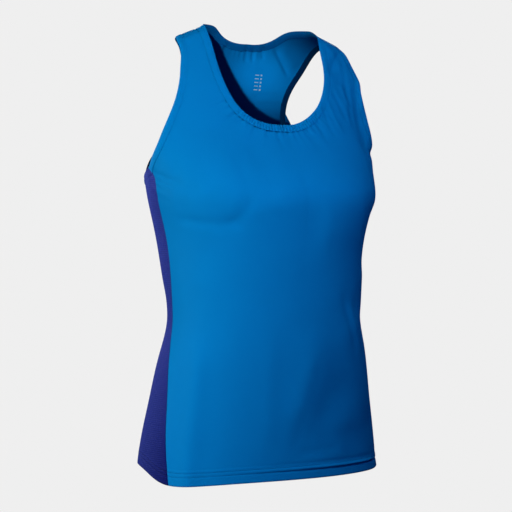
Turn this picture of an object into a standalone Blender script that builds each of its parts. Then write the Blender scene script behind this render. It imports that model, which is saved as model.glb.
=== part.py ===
"""A women's running singlet, filled out as if worn, in metres with +Z up.

The front faces -Y and the wearer's right is -X. The origin is midway between the shoulder
straps, at the height where they rest on the wearer.

Every piece of cloth lies on one form, a stack of sections round the body that closes over the
shoulders. A place on the form has an angle, in degrees round the body from the centre line,
and a tape length, in metres down from the shoulder ridge. The tape is positive on the front
and negative on the back. Angles are positive towards the wearer's left, and an angle past 90
goes on round the side to the other face.
"""

import math
from collections import namedtuple

import bpy
import numpy as np
from mathutils import Vector

# Cloth
PANEL_WALL = 0.0012
HEM_WALL = 0.0024
BAND_WALL = 0.0020
SEAM_GAP = 0.0003
NECK_BAND_WIDTH = 0.0110
ARMHOLE_BAND_WIDTH = 0.0090
BAND_RISE = 0.0003
BAND_CROWN = 0.0005

# The form: sizes of each level section, where front, back and side are distances ahead of
# the origin (front) or behind it (back and side) of the section's three named points
Section = namedtuple("Section", "height half_width front back side")
SECTIONS = (
    Section(0.000, 0.1950, 0.0000, 0.000, 0.000),
    Section(-0.006, 0.2010, 0.0170, 0.016, 0.000),
    Section(-0.020, 0.2060, 0.0265, 0.024, 0.000),
    Section(-0.050, 0.2110, 0.0410, 0.034, -0.002),
    Section(-0.100, 0.1920, 0.0625, 0.047, -0.004),
    Section(-0.150, 0.1810, 0.0790, 0.068, -0.009),
    Section(-0.200, 0.1700, 0.1190, 0.090, -0.014),
    Section(-0.232, 0.1650, 0.1375, 0.096, -0.019),
    Section(-0.265, 0.1560, 0.1370, 0.096, -0.017),
    Section(-0.300, 0.1477, 0.1342, 0.093, -0.015),
    Section(-0.350, 0.1418, 0.1315, 0.085, -0.021),
    Section(-0.400, 0.1387, 0.1315, 0.079, -0.027),
    Section(-0.450, 0.1483, 0.1310, 0.090, -0.022),
    Section(-0.510, 0.1593, 0.1300, 0.102, -0.014),
    Section(-0.570, 0.1698, 0.1300, 0.112, -0.008),
    Section(-0.640, 0.1755, 0.1300, 0.117, -0.006),
)
SQUARENESS = 2.15
RIDGE_RADIUS = 0.030
SHOULDER_LEVEL_RIGHT = 0.060
SHOULDER_LEVEL_LEFT = 0.069
SHOULDER_SLOPE = 4.5
SHOULDER_FADE = 0.100
SIDE_FADE = 0.050
CHEST_ACROSS = 0.075
CHEST_HEIGHT = -0.228
CHEST_SPREAD = 0.060
CHEST_FULLNESS = 0.0055

# Finished edges of the openings, from the centre line out or from the side seam up
Edge = namedtuple("Edge", "tape right left")
NECK_FRONT = (
    Edge(0.1641, 0.0, 0.0),
    Edge(0.1613, 8.5, 6.2),
    Edge(0.1457, 16.7, 14.5),
    Edge(0.1328, 19.5, 18.1),
    Edge(0.1179, 20.9, 20.4),
    Edge(0.0939, 21.4, 22.1),
    Edge(0.0729, 21.4, 22.7),
    Edge(0.0388, 22.6, 24.0),
)
NECK_BACK = (
    Edge(0.0, 22.8, 23.8),
    Edge(-0.0091, 16.6, 17.0),
    Edge(-0.0267, 10.2, 10.2),
    Edge(-0.0371, 0.0, 0.0),
)
ARMHOLE = (
    Edge(0.2231, 90.3, 90.3),
    Edge(0.2139, 85.5, 85.5),
    Edge(0.1938, 73.4, 74.5),
    Edge(0.1654, 61.0, 63.0),
    Edge(0.1272, 49.2, 52.5),
    Edge(0.0907, 40.3, 44.8),
    Edge(0.0674, 37.5, 44.1),
    Edge(0.0350, 37.2, 43.0),
    Edge(0.0, 38.1, 39.4),
    Edge(-0.0283, 32.4, 33.0),
    Edge(-0.0771, 25.3, 25.3),
    Edge(-0.1045, 22.3, 22.3),
    Edge(-0.1309, 22.0, 22.0),
    Edge(-0.1540, 24.4, 24.4),
    Edge(-0.1770, 30.0, 30.0),
    Edge(-0.1990, 40.0, 40.0),
    Edge(-0.2170, 50.0, 50.0),
    Edge(-0.2300, 60.0, 60.0),
    Edge(-0.2365, 68.0, 68.0),
)

# Side seams: angles from the centre front and from the centre back at each tape length
SideSeam = namedtuple("SideSeam", "tape front back")
SIDE_SEAMS = (
    SideSeam(0.2231, 90.3, 68.0),
    SideSeam(0.2290, 87.9, 67.7),
    SideSeam(0.2546, 87.0, 68.0),
    SideSeam(0.3079, 87.2, 68.0),
    SideSeam(0.3470, 87.4, 67.0),
    SideSeam(0.3909, 90.6, 65.5),
    SideSeam(0.4233, 93.6, 64.0),
    SideSeam(0.4684, 90.0, 65.0),
    SideSeam(0.5076, 83.7, 66.5),
    SideSeam(0.5728, 75.7, 68.0),
    SideSeam(0.6100, 71.6, 68.0),
    SideSeam(0.6454, 68.2, 68.0),
)
UNDERARM_DIP = 0.0015

# Hem: tape length all round, from the centre back by the wearer's right to the front
Hem = namedtuple("Hem", "angle tape")
HEM = (
    Hem(-180.0, 0.6280),
    Hem(-130.0, 0.6240),
    Hem(-105.0, 0.6250),
    Hem(-93.0, 0.6280),
    Hem(-84.0, 0.6352),
    Hem(-72.0, 0.6437),
    Hem(-60.0, 0.6450),
    Hem(-34.0, 0.6408),
    Hem(0.0, 0.6378),
    Hem(34.0, 0.6371),
    Hem(60.0, 0.6368),
    Hem(74.0, 0.6345),
    Hem(93.0, 0.6245),
    Hem(105.0, 0.6205),
    Hem(130.0, 0.6240),
    Hem(180.0, 0.6280),
)
HEM_ROWS = (0.0, 0.0085, 0.0170, 0.0190)
HEM_TURNED_ROWS = 3

# Largest folds: soft troughs (negative) and ridges between two places on the form
Fold = namedtuple("Fold", "angle_a tape_a angle_b tape_b width height")
FOLDS = (
    Fold(38.0, 0.075, 60.0, 0.215, 0.010, -0.0030),
    Fold(43.0, 0.050, 66.0, 0.200, 0.007, 0.0016),
    Fold(30.0, 0.055, 36.0, 0.130, 0.009, -0.0014),
    Fold(-84.0, 0.235, -52.0, 0.262, 0.007, -0.0016),
    Fold(34.0, 0.400, 78.0, 0.452, 0.012, -0.0024),
    Fold(20.0, 0.470, 58.0, 0.408, 0.016, 0.0018),
    Fold(-6.0, 0.600, 34.0, 0.500, 0.020, -0.0030),
    Fold(18.0, 0.610, 64.0, 0.560, 0.018, -0.0024),
    Fold(150.0, 0.330, 112.0, 0.400, 0.013, -0.0026),
    Fold(-150.0, 0.345, -114.0, 0.420, 0.013, -0.0024),
    Fold(176.0, 0.395, 128.0, 0.425, 0.015, -0.0022),
    Fold(-170.0, 0.410, -130.0, 0.440, 0.015, -0.0020),
    Fold(160.0, 0.480, 146.0, 0.600, 0.020, -0.0026),
    Fold(-158.0, 0.470, -140.0, 0.590, 0.020, -0.0024),
)
FOLD_END = 0.25

# Facets: rows up the side seams, the centre line, the neck seam and the armhole seams
SEAM_ROWS = 22
Rows = namedtuple("Rows", "centre neck armhole")
FACE_ROWS = {"front": Rows(24, 18, 20), "back": Rows(36, 6, 20)}
PANEL_COLUMNS = 10
EDGE_COLUMN = 0.975
SHOULDER_ROW = 0.7
SIDE_COLUMNS = 4
BAND_COLUMNS = 2
PUCKER_REACH = 0.068
PUCKER_HEIGHT = 0.0004
PUCKER_STEPS = 4
STAND_UP = 0.0045
STAND_UP_REACH = 0.022

# Working steps: differences along the form and along an edge, and rounds of each search
STEP_ANGLE = 0.05
STEP_TAPE = 0.0002
STEP_PART = 0.002
HALVINGS = 40
INSET_ROUNDS = 3
HEM_ROUNDS = 6

# Materials
Material = namedtuple("Material", "name colour roughness")
AZURE = Material("azure_interlock", (0.003, 0.130, 0.410, 1.0), 0.48)
VIOLET = Material("violet_micro_mesh", (0.028, 0.037, 0.250, 1.0), 0.60)

COLLECTION = "running_singlet"


def natural_spline(places, values):
    """Return a smooth function through the values at the rising places."""
    x = np.array(places)
    y = np.array(values)
    step = np.diff(x)
    slope = np.diff(y) / step
    matrix = np.eye(len(x))
    right = np.zeros(len(x))
    for i in range(1, len(x) - 1):
        matrix[i, i - 1:i + 2] = step[i - 1], 2 * (step[i - 1] + step[i]), step[i]
        right[i] = 6 * (slope[i] - slope[i - 1])
    bend = np.linalg.solve(matrix, right)

    def value(place):
        i = int(np.clip(np.searchsorted(x, place) - 1, 0, len(step) - 1))
        after = place - x[i]
        before = x[i + 1] - place
        cubic = (bend[i] * before ** 3 + bend[i + 1] * after ** 3) / (6 * step[i])
        linear = (y[i] / step[i] - bend[i] * step[i] / 6) * before
        return cubic + linear + (y[i + 1] / step[i] - bend[i + 1] * step[i] / 6) * after

    return value


def tape_of(height):
    """Tape length from the shoulder ridge down to a height, over the rounded ridge."""
    return math.sqrt((RIDGE_RADIUS - height) ** 2 - RIDGE_RADIUS ** 2)


def section_splines():
    """Splines over the tape of the half width, the side and the centre-line depth."""
    down = [tape_of(section.height) for section in SECTIONS]
    tape = [-value for value in down[:0:-1]] + down
    both = SECTIONS[:0:-1] + SECTIONS
    width = natural_spline(tape, [section.half_width for section in both])
    side = natural_spline(tape, [section.side for section in both])
    backs = [section.back for section in SECTIONS[:0:-1]]
    centre = natural_spline(tape, backs + [-section.front for section in SECTIONS])
    return width, side, centre


HALF_WIDTH, SIDE_DEPTH, CENTRE_DEPTH = section_splines()


def form_point(angle, tape):
    """Place on the bare form, before folds."""
    sign = math.copysign(1.0, angle)
    turn = abs(angle)
    if turn > 90.0:
        turn = 180.0 - turn
        tape = -tape
    across = math.sin(math.radians(turn)) ** (2 / SQUARENESS)
    depth = max(0.0, math.cos(math.radians(turn))) ** (2 / SQUARENESS)
    x = HALF_WIDTH(tape) * across
    from_side = 1 - math.exp(-(tape / SIDE_FADE) ** 2)
    y = SIDE_DEPTH(tape) * from_side * (1 - depth) + CENTRE_DEPTH(tape) * depth
    z = RIDGE_RADIUS - math.hypot(tape, RIDGE_RADIUS)
    level = SHOULDER_LEVEL_LEFT if sign > 0 else SHOULDER_LEVEL_RIGHT
    fall = SHOULDER_SLOPE * max(0.0, x - level) ** 2
    z -= fall * math.exp(-(tape / SHOULDER_FADE) ** 2)
    if tape > 0:
        away = ((x - CHEST_ACROSS) ** 2 + (z - CHEST_HEIGHT) ** 2) / CHEST_SPREAD ** 2
        y -= CHEST_FULLNESS * depth * math.exp(-away / 2)
    return Vector((sign * x, y, z))


def tangents(angle, tape):
    """Directions in which the form runs as the angle and the tape grow."""
    by_angle = form_point(angle + STEP_ANGLE, tape) - form_point(angle - STEP_ANGLE, tape)
    by_tape = form_point(angle, tape + STEP_TAPE) - form_point(angle, tape - STEP_TAPE)
    return by_angle / (2 * STEP_ANGLE), by_tape / (2 * STEP_TAPE)


def outward(angle, tape):
    by_angle, by_tape = tangents(angle, tape)
    normal = by_tape.cross(by_angle).normalized()
    return -normal if abs(angle) > 90.0 and tape < 0 else normal


def fold_height(point):
    """Sum of the folds' heights at a place on the form."""
    total = 0.0
    for fold, start, end in FOLD_LINES:
        line = end - start
        along = (point - start).dot(line) / line.length_squared
        if not 0.0 < along < 1.0:
            continue
        away = (point - start - line * along).length / fold.width
        ease = min(1.0, along / FOLD_END, (1 - along) / FOLD_END)
        total += fold.height * math.exp(-away ** 2 / 2) * ease * ease * (3 - 2 * ease)
    return total


FOLD_LINES = [
    (fold, form_point(fold.angle_a, fold.tape_a), form_point(fold.angle_b, fold.tape_b))
    for fold in FOLDS
]


def cloth_point(angle, tape, lift=0.0):
    """Place on the middle of the cloth, folds included, moved out by a lift."""
    bare = form_point(angle, tape)
    return bare + outward(angle, tape) * (fold_height(bare) + lift)


def path(rows):
    """Smooth path through (angle, tape) rows, as a function of its length from 0 to 1."""
    places = [form_point(angle, tape) for angle, tape in rows]
    length = [0.0]
    for before, after in zip(places, places[1:]):
        length.append(length[-1] + (after - before).length)
    at = [value / length[-1] for value in length]
    angle = natural_spline(at, [row[0] for row in rows])
    tape = natural_spline(at, [row[1] for row in rows])
    return lambda part: (float(angle(part)), float(tape(part)))


def neck_path(side):
    """Finished neck edge on one side, from the centre front to the centre back."""
    column = "left" if side > 0 else "right"
    rows = [(side * getattr(edge, column), edge.tape) for edge in NECK_FRONT + NECK_BACK]
    ahead = (-rows[1][0], rows[1][1])
    behind = (-rows[-2][0], rows[-2][1])
    whole = path([ahead] + rows + [behind])
    first = zero_of(lambda part: side * whole(part)[0], 0.0, 0.5)
    last = zero_of(lambda part: -side * whole(part)[0], 0.5, 1.0)
    return lambda part: whole(first + (last - first) * part)


def armhole_path(side):
    """Finished armhole edge, from the front side seam over the shoulder to the back one."""
    column = "left" if side > 0 else "right"
    return path([(side * getattr(edge, column), edge.tape) for edge in ARMHOLE])


def zero_of(measure, low, high):
    """Place between low and high where a rising measure passes zero."""
    for _ in range(HALVINGS):
        middle = (low + high) / 2
        if measure(middle) < 0:
            low = middle
        else:
            high = middle
    return (low + high) / 2


def inset(route, part, width, turn):
    """Place on the cloth at a width in from a route's edge, towards the panel."""
    angle, tape = route(part)
    low, high = max(0.0, part - STEP_PART), min(1.0, part + STEP_PART)
    start = form_point(angle, tape)
    along = (form_point(*route(high)) - form_point(*route(low))).normalized()
    goal = start + along.cross(outward(angle, tape)) * turn * width
    for _ in range(INSET_ROUNDS):
        by_angle, by_tape = tangents(angle, tape)
        miss = goal - form_point(angle, tape)
        matrix = np.array([list(by_angle), list(by_tape)]).T
        change = np.linalg.lstsq(matrix, np.array(miss), rcond=None)[0]
        angle += change[0]
        tape += change[1]
    return angle, tape


Opening = namedtuple("Opening", "route width turn shoulder")


def opening(kind, side):
    """Neck or armhole edge with its band's width and its part at the shoulder seam."""
    if kind == "neck":
        route, width, turn = neck_path(side), NECK_BAND_WIDTH, side
    else:
        route, width, turn = armhole_path(side), ARMHOLE_BAND_WIDTH, -side
    shoulder = zero_of(lambda part: -inset(route, part, width, turn)[1], 0.0, 1.0)
    return Opening(route, width, turn, shoulder)


def opening_parts(edge, kind, face):
    """Even parts of an opening's edge up to the shoulder, with a short last row there."""
    count = getattr(FACE_ROWS[face], kind) - 1
    start = 0.0 if face == "front" else 1.0
    parts = [start + (edge.shoulder - start) * i / count for i in range(count + 1)]
    parts.insert(count, parts[-2] + (parts[-1] - parts[-2]) * SHOULDER_ROW)
    return parts


FRONT_SEAM = natural_spline([row.tape for row in SIDE_SEAMS], [row.front for row in SIDE_SEAMS])
BACK_SEAM = natural_spline([row.tape for row in SIDE_SEAMS], [row.back for row in SIDE_SEAMS])
HEM_TAPE = natural_spline([row.angle for row in HEM], [row.tape for row in HEM])


def seam_angle(tape, face, outside):
    """Angle of a side seam's edge from the centre front; outside is 1 on the side panel."""
    angle = FRONT_SEAM(tape) if face == "front" else 180.0 - BACK_SEAM(tape)
    half_gap = SEAM_GAP / 2 / tangents(angle, tape)[0].length
    away = 1 if face == "front" else -1
    return angle + away * half_gap * (1 if outside else -1)


def hem_to(start, end, count):
    """Tape lengths from the hem up to an end: the turned hem's rows, then even ones."""
    steps = [start - distance for distance in HEM_ROWS]
    rest = count - len(steps) + 1
    return steps + [steps[-1] + (end - steps[-1]) * i / rest for i in range(1, rest + 1)]


def seam_tapes(side, face):
    """Tape lengths of a side seam's rows, from the hem up to the armhole band's end."""
    hem = HEM[0].tape
    for _ in range(HEM_ROUNDS):
        hem = HEM_TAPE(side * seam_angle(hem, face, False))
    return hem_to(hem, seam_top(face) + ARMHOLE_BAND_WIDTH + SEAM_GAP, SEAM_ROWS)


def seam_top(face):
    """Tape length at which a side seam meets the finished armhole edge."""
    return abs(ARMHOLE[0 if face == "front" else -1].tape)


def seam_place(side, face, tape):
    """Place on a front or back panel's edge of its side seam."""
    angle = seam_angle(tape, face, False)
    if face == "front":
        return side * angle, tape
    return side * (180.0 - angle), -tape


def panel_edges(side, face):
    """Boundary rows of half a front or back panel: centre-side and outer places."""
    sign = 1 if face == "front" else -1
    lines = []
    for kind in ("neck", "armhole"):
        edge = opening(kind, side)
        line = []
        for part in opening_parts(edge, kind, face):
            line.append(inset(edge.route, part, edge.width + SEAM_GAP, edge.turn))
        line[-1] = (line[-1][0], sign * SEAM_GAP / 2)
        lines.append(line)
    neck_line, arm_line = lines
    hem = HEM_TAPE(0.0 if face == "front" else 180.0)
    centre = hem_to(hem, abs(neck_line[0][1]), FACE_ROWS[face].centre)
    inner = [(0.0, sign * tape) for tape in centre] + neck_line[1:]
    outer = [seam_place(side, face, tape) for tape in seam_tapes(side, face)]
    return inner, outer + arm_line[1:]


def column_parts():
    """Parts across half a panel, with a narrow last column along its outer edge."""
    return [i / PANEL_COLUMNS for i in range(PANEL_COLUMNS)] + [EDGE_COLUMN, 1.0]


def panel_grid(side, face):
    """Places of half a panel, row by row from the hem, column by column from the centre."""
    inner, outer = panel_edges(side, face)
    grid = []
    for row, (start, end) in enumerate(zip(inner, outer)):
        hem_weight = max(0.0, 1 - row / SEAM_ROWS) ** 2
        line = []
        for part in column_parts():
            angle = start[0] + (end[0] - start[0]) * part
            tape = start[1] + (end[1] - start[1]) * part
            from_front = angle if face == "front" else side * 180.0 - angle
            straight = inner[0][1] + (outer[0][1] - inner[0][1]) * part
            tape += hem_weight * (math.copysign(HEM_TAPE(from_front), tape) - straight)
            line.append((angle, tape))
        grid.append(line)
    return grid


def new_material(spec, node):
    material = bpy.data.materials.new(f"{node}_{spec.name}")
    material.use_nodes = True
    shader = material.node_tree.nodes["Principled BSDF"]
    shader.inputs["Base Color"].default_value = spec.colour
    shader.inputs["Roughness"].default_value = spec.roughness
    shader.inputs["Metallic"].default_value = 0.0
    material.diffuse_color = spec.colour
    return material


def add_sheet(node, points, faces, wall, spec, hem_points=()):
    """Add an open sheet and thicken it; hem points take the hem's own thickness."""
    mesh = bpy.data.meshes.new(node)
    mesh.from_pydata(points, [], faces)
    mesh.update()
    sheet = bpy.data.objects.new(node, mesh)
    bpy.data.collections[COLLECTION].objects.link(sheet)
    mesh.materials.append(new_material(spec, node))
    thicken = sheet.modifiers.new("cloth wall", "SOLIDIFY")
    thicken.thickness = wall
    thicken.offset = 0.0
    if hem_points:
        group = sheet.vertex_groups.new(name="hem")
        group.add(list(hem_points), 1.0, "REPLACE")
        thicken.thickness = HEM_WALL
        thicken.vertex_group = "hem"
        thicken.thickness_vertex_group = wall / HEM_WALL
    return sheet


def grid_faces(grid, flip):
    """Quads between neighbouring rows of point numbers, facing outwards."""
    faces = []
    for low, high in zip(grid, grid[1:]):
        for column in range(len(low) - 1):
            quad = [low[column], low[column + 1], high[column + 1], high[column]]
            faces.append(quad[::-1] if flip else quad)
    return faces


def add_panel(face):
    """Front or back panel: two halves that share the centre line below the neck."""
    points = []
    faces = []
    hem_points = []
    centre_rows = FACE_ROWS[face].centre
    centre_numbers = []
    for side in (1, -1):
        numbers = []
        for row, line in enumerate(panel_grid(side, face)):
            numbers.append([])
            for column, place in enumerate(line):
                shared = side < 0 and column == 0 and row <= centre_rows
                if shared:
                    numbers[-1].append(centre_numbers[row])
                    continue
                numbers[-1].append(len(points))
                points.append(cloth_point(*place))
                if row < HEM_TURNED_ROWS:
                    hem_points.append(numbers[-1][-1])
        centre_numbers = [line[0] for line in numbers]
        outside_flip = (side < 0) == (face == "front")
        faces += grid_faces(numbers, outside_flip)
    add_sheet(f"{face}_panel", points, faces, PANEL_WALL, AZURE, hem_points)


def add_side_panel(side, name):
    """Side panel between the two side seams, its top edge being the underarm."""
    fronts = seam_tapes(side, "front") + [seam_top("front")]
    backs = seam_tapes(side, "back") + [seam_top("back")]
    points = []
    numbers = []
    hem_points = []
    for row, (front_tape, back_tape) in enumerate(zip(fronts, backs)):
        start = seam_angle(front_tape, "front", True)
        end = seam_angle(back_tape, "back", True)
        up = row / (SEAM_ROWS + 1)
        numbers.append([])
        for column in range(SIDE_COLUMNS + 1):
            part = column / SIDE_COLUMNS
            angle = start + (end - start) * part
            tape = front_tape + (back_tape - front_tape) * part
            straight = fronts[0] + (backs[0] - fronts[0]) * part
            tape += (1 - up) ** 2 * (HEM_TAPE(side * angle) - straight)
            tape += up ** 2 * UNDERARM_DIP * math.sin(math.pi * part)
            numbers[-1].append(len(points))
            points.append(cloth_point(side * angle, tape))
            if row < HEM_TURNED_ROWS:
                hem_points.append(numbers[-1][-1])
    faces = grid_faces(numbers, side < 0)
    add_sheet(name, points, faces, PANEL_WALL, VIOLET, hem_points)


def band_crown(across):
    """Lift of a band's rounded face, from its opening edge (0) to its seam (1)."""
    return BAND_RISE + BAND_CROWN * math.sin(math.pi * across)


def band_line(edge, seam, stand_up=0.0):
    """Points across a band between its opening edge and its seam."""
    line = []
    for column in range(BAND_COLUMNS + 1):
        across = column / BAND_COLUMNS
        angle = edge[0] + (seam[0] - edge[0]) * across
        tape = edge[1] + (seam[1] - edge[1]) * across
        rise = stand_up * (1 - across) ** 3
        point = cloth_point(angle, tape, band_crown(across) + rise)
        line.append((point, outward(angle, tape)))
    return line


def neck_lines(side):
    """Band lines of half the neck, from the centre front to the centre back."""
    neck = opening("neck", side)
    parts = opening_parts(neck, "neck", "front") + opening_parts(neck, "neck", "back")[-2::-1]
    lines = []
    for part in parts:
        edge = neck.route(part)
        seam = inset(neck.route, part, neck.width, neck.turn)
        stand = STAND_UP * math.exp(-(edge[1] / STAND_UP_REACH) ** 2)
        lines.append(band_line(edge, seam, stand))
    return lines


def add_neck_band():
    """Closed neck band, with small puckers along the lower front."""
    ring = neck_lines(1)[:-1] + neck_lines(-1)[:0:-1]
    points = []
    numbers = []
    for line, following in zip(ring, ring[1:] + ring[:1]):
        middle = (following[-1][0] + line[-1][0]) / 2
        steps = PUCKER_STEPS if middle.y < 0 and abs(middle.x) < PUCKER_REACH else 1
        for step in range(steps):
            wave = PUCKER_HEIGHT * (-1) ** step if steps > 1 else 0.0
            row = []
            for column, ((start, normal), (end, _)) in enumerate(zip(line, following)):
                across = column / BAND_COLUMNS
                height = wave * math.sin(math.pi * (1 + 2 * across) / 4)
                row.append(len(points))
                points.append(start.lerp(end, step / steps) + normal * height)
            numbers.append(row)
    faces = grid_faces(numbers + numbers[:1], True)
    add_sheet("neck_band", points, faces, BAND_WALL, AZURE)


def add_armhole_band(side, name):
    """Armhole band from the front side seam over the shoulder to the back side seam."""
    hole = opening("armhole", side)
    parts = opening_parts(hole, "armhole", "front")
    parts += opening_parts(hole, "armhole", "back")[-2::-1]
    points = []
    numbers = []
    for part in parts:
        edge = hole.route(part)
        seam = inset(hole.route, part, hole.width, hole.turn)
        if part in (0.0, 1.0):
            face = "front" if part == 0.0 else "back"
            edge = seam_place(side, face, seam_top(face))
            seam = seam_place(side, face, seam_top(face) + hole.width)
        row = []
        for point, _ in band_line(edge, seam):
            row.append(len(points))
            points.append(point)
        numbers.append(row)
    faces = grid_faces(numbers, side < 0)
    add_sheet(name, points, faces, BAND_WALL, AZURE)


def clear_scene():
    for item in list(bpy.data.objects):
        bpy.data.objects.remove(item, do_unlink=True)


def main():
    clear_scene()
    collection = bpy.data.collections.new(COLLECTION)
    bpy.context.scene.collection.children.link(collection)
    add_panel("front")
    add_panel("back")
    add_side_panel(-1, "side_panel_right")
    add_side_panel(1, "side_panel_left")
    add_neck_band()
    add_armhole_band(-1, "armhole_band_right")
    add_armhole_band(1, "armhole_band_left")


main()
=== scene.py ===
"""The looks of a women's running singlet, filled out as if worn.

Metres, +Z up. The front faces -Y and the wearer's right is -X. Each piece of cloth starts as a
flat grid, is laid on one form with its folds, and then gets its thickness. A place on the form
has an angle, in degrees round the body from the centre front, and a tape length, in metres
down from the shoulder ridge. The tape is positive on the front and negative on the back, and
angles are positive towards the wearer's left.
"""

import math
from collections import namedtuple

import bpy
import numpy as np
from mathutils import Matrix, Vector
from mathutils.kdtree import KDTree


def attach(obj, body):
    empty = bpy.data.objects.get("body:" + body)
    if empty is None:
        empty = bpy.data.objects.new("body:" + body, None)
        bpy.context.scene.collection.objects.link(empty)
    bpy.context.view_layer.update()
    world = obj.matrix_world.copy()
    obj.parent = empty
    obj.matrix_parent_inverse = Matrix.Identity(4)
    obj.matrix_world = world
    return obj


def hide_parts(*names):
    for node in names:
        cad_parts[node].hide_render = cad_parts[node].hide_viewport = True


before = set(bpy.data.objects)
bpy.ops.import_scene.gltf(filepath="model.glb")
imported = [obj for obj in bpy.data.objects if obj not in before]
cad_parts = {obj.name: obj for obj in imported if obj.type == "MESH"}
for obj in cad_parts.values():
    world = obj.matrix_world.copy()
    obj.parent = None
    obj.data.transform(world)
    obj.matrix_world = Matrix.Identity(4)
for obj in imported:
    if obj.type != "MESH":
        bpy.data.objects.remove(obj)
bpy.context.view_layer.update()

# Cloth
CLOTH = 0.0007
BAND_CLOTH = 0.0004
NECK_BAND_WIDTH = 0.0110
ARMHOLE_BAND_WIDTH = 0.0090
BAND_CROWN = 0.0003
BAND_HALF_DEPTH = 0.0007
TUCK = 0.0045
SEAM_GAP = 0.0003

# The form: level sections, with the depths of the front, the back and the side
Section = namedtuple("Section", "height half_width front back side")
SECTIONS = (
    Section(0.000, 0.1950, 0.0000, 0.000, 0.000),
    Section(-0.006, 0.2010, 0.0170, 0.016, 0.000),
    Section(-0.020, 0.2060, 0.0265, 0.024, 0.000),
    Section(-0.050, 0.2110, 0.0410, 0.034, -0.002),
    Section(-0.100, 0.1920, 0.0625, 0.047, -0.004),
    Section(-0.150, 0.1810, 0.0790, 0.068, -0.009),
    Section(-0.200, 0.1700, 0.1190, 0.090, -0.014),
    Section(-0.232, 0.1650, 0.1375, 0.096, -0.019),
    Section(-0.265, 0.1560, 0.1370, 0.096, -0.017),
    Section(-0.300, 0.1477, 0.1342, 0.093, -0.015),
    Section(-0.350, 0.1418, 0.1315, 0.085, -0.021),
    Section(-0.400, 0.1387, 0.1315, 0.079, -0.027),
    Section(-0.450, 0.1483, 0.1310, 0.090, -0.022),
    Section(-0.510, 0.1593, 0.1300, 0.102, -0.014),
    Section(-0.570, 0.1698, 0.1300, 0.112, -0.008),
    Section(-0.640, 0.1755, 0.1300, 0.117, -0.006),
)
SQUARENESS = 2.15
RIDGE_RADIUS = 0.030
SHOULDER_LEVEL_RIGHT = 0.060
SHOULDER_LEVEL_LEFT = 0.069
SHOULDER_SLOPE = 4.5
SHOULDER_FADE = 0.100
SIDE_FADE = 0.050
CHEST_ACROSS = 0.075
CHEST_HEIGHT = -0.228
CHEST_SPREAD = 0.060
CHEST_FULLNESS = 0.0055
STAND_UP = 0.0045
STAND_UP_REACH = 0.022

# Sign of the tape on each face
FACE_SIGN = {"front": 1, "back": -1}

# Finished edges of the openings, from the centre line out or from the side seam up
Edge = namedtuple("Edge", "tape right left")
NECK_FRONT = (
    Edge(0.1641, 0.0, 0.0),
    Edge(0.1613, 8.5, 6.2),
    Edge(0.1457, 16.7, 14.5),
    Edge(0.1328, 19.5, 18.1),
    Edge(0.1179, 20.9, 20.4),
    Edge(0.0939, 21.4, 22.1),
    Edge(0.0729, 21.4, 22.7),
    Edge(0.0388, 22.6, 24.0),
)
NECK_BACK = (
    Edge(0.0, 22.8, 23.8),
    Edge(-0.0091, 16.6, 17.0),
    Edge(-0.0267, 10.2, 10.2),
    Edge(-0.0371, 0.0, 0.0),
)
ARMHOLE = (
    Edge(0.2231, 90.3, 90.3),
    Edge(0.2139, 85.5, 85.5),
    Edge(0.1938, 73.4, 74.5),
    Edge(0.1654, 61.0, 63.0),
    Edge(0.1272, 49.2, 52.5),
    Edge(0.0907, 40.3, 44.8),
    Edge(0.0674, 37.5, 44.1),
    Edge(0.0350, 37.2, 43.0),
    Edge(0.0, 38.1, 39.4),
    Edge(-0.0283, 32.4, 33.0),
    Edge(-0.0771, 25.3, 25.3),
    Edge(-0.1045, 22.3, 22.3),
    Edge(-0.1309, 22.0, 22.0),
    Edge(-0.1540, 24.4, 24.4),
    Edge(-0.1770, 30.0, 30.0),
    Edge(-0.1990, 40.0, 40.0),
    Edge(-0.2170, 50.0, 50.0),
    Edge(-0.2300, 60.0, 60.0),
    Edge(-0.2365, 68.0, 68.0),
)

# Side seams: angles from the centre front and from the centre back at each tape length
SideSeam = namedtuple("SideSeam", "tape front back")
SIDE_SEAMS = (
    SideSeam(0.2231, 90.3, 68.0),
    SideSeam(0.2290, 87.9, 67.7),
    SideSeam(0.2546, 87.0, 68.0),
    SideSeam(0.3079, 87.2, 68.0),
    SideSeam(0.3470, 87.4, 67.0),
    SideSeam(0.3909, 90.6, 65.5),
    SideSeam(0.4233, 93.6, 64.0),
    SideSeam(0.4684, 90.0, 65.0),
    SideSeam(0.5076, 83.7, 66.5),
    SideSeam(0.5728, 75.7, 68.0),
    SideSeam(0.6100, 71.6, 68.0),
    SideSeam(0.6454, 68.2, 68.0),
)
UNDERARM_DIP = 0.0015

# How far the front and back panels lap over the side panels at each tape length
Lap = namedtuple("Lap", "tape reach")
SEAM_LAPS = (
    Lap(0.210, 0.0018),
    Lap(0.236, 0.0026),
    Lap(0.270, 0.0020),
    Lap(0.330, 0.0021),
    Lap(0.400, 0.0013),
    Lap(0.440, 0.0006),
    Lap(0.485, 0.0001),
    Lap(0.530, 0.0004),
    Lap(0.600, 0.0008),
    Lap(0.660, 0.0008),
)

# Hem: tape length all round, from the centre back by the wearer's right to the front
Hem = namedtuple("Hem", "angle tape")
HEM = (
    Hem(-180.0, 0.6280),
    Hem(-130.0, 0.6240),
    Hem(-105.0, 0.6250),
    Hem(-93.0, 0.6280),
    Hem(-84.0, 0.6352),
    Hem(-72.0, 0.6437),
    Hem(-60.0, 0.6450),
    Hem(-34.0, 0.6408),
    Hem(0.0, 0.6378),
    Hem(34.0, 0.6371),
    Hem(60.0, 0.6368),
    Hem(74.0, 0.6345),
    Hem(93.0, 0.6245),
    Hem(105.0, 0.6205),
    Hem(130.0, 0.6240),
    Hem(180.0, 0.6280),
)

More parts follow.
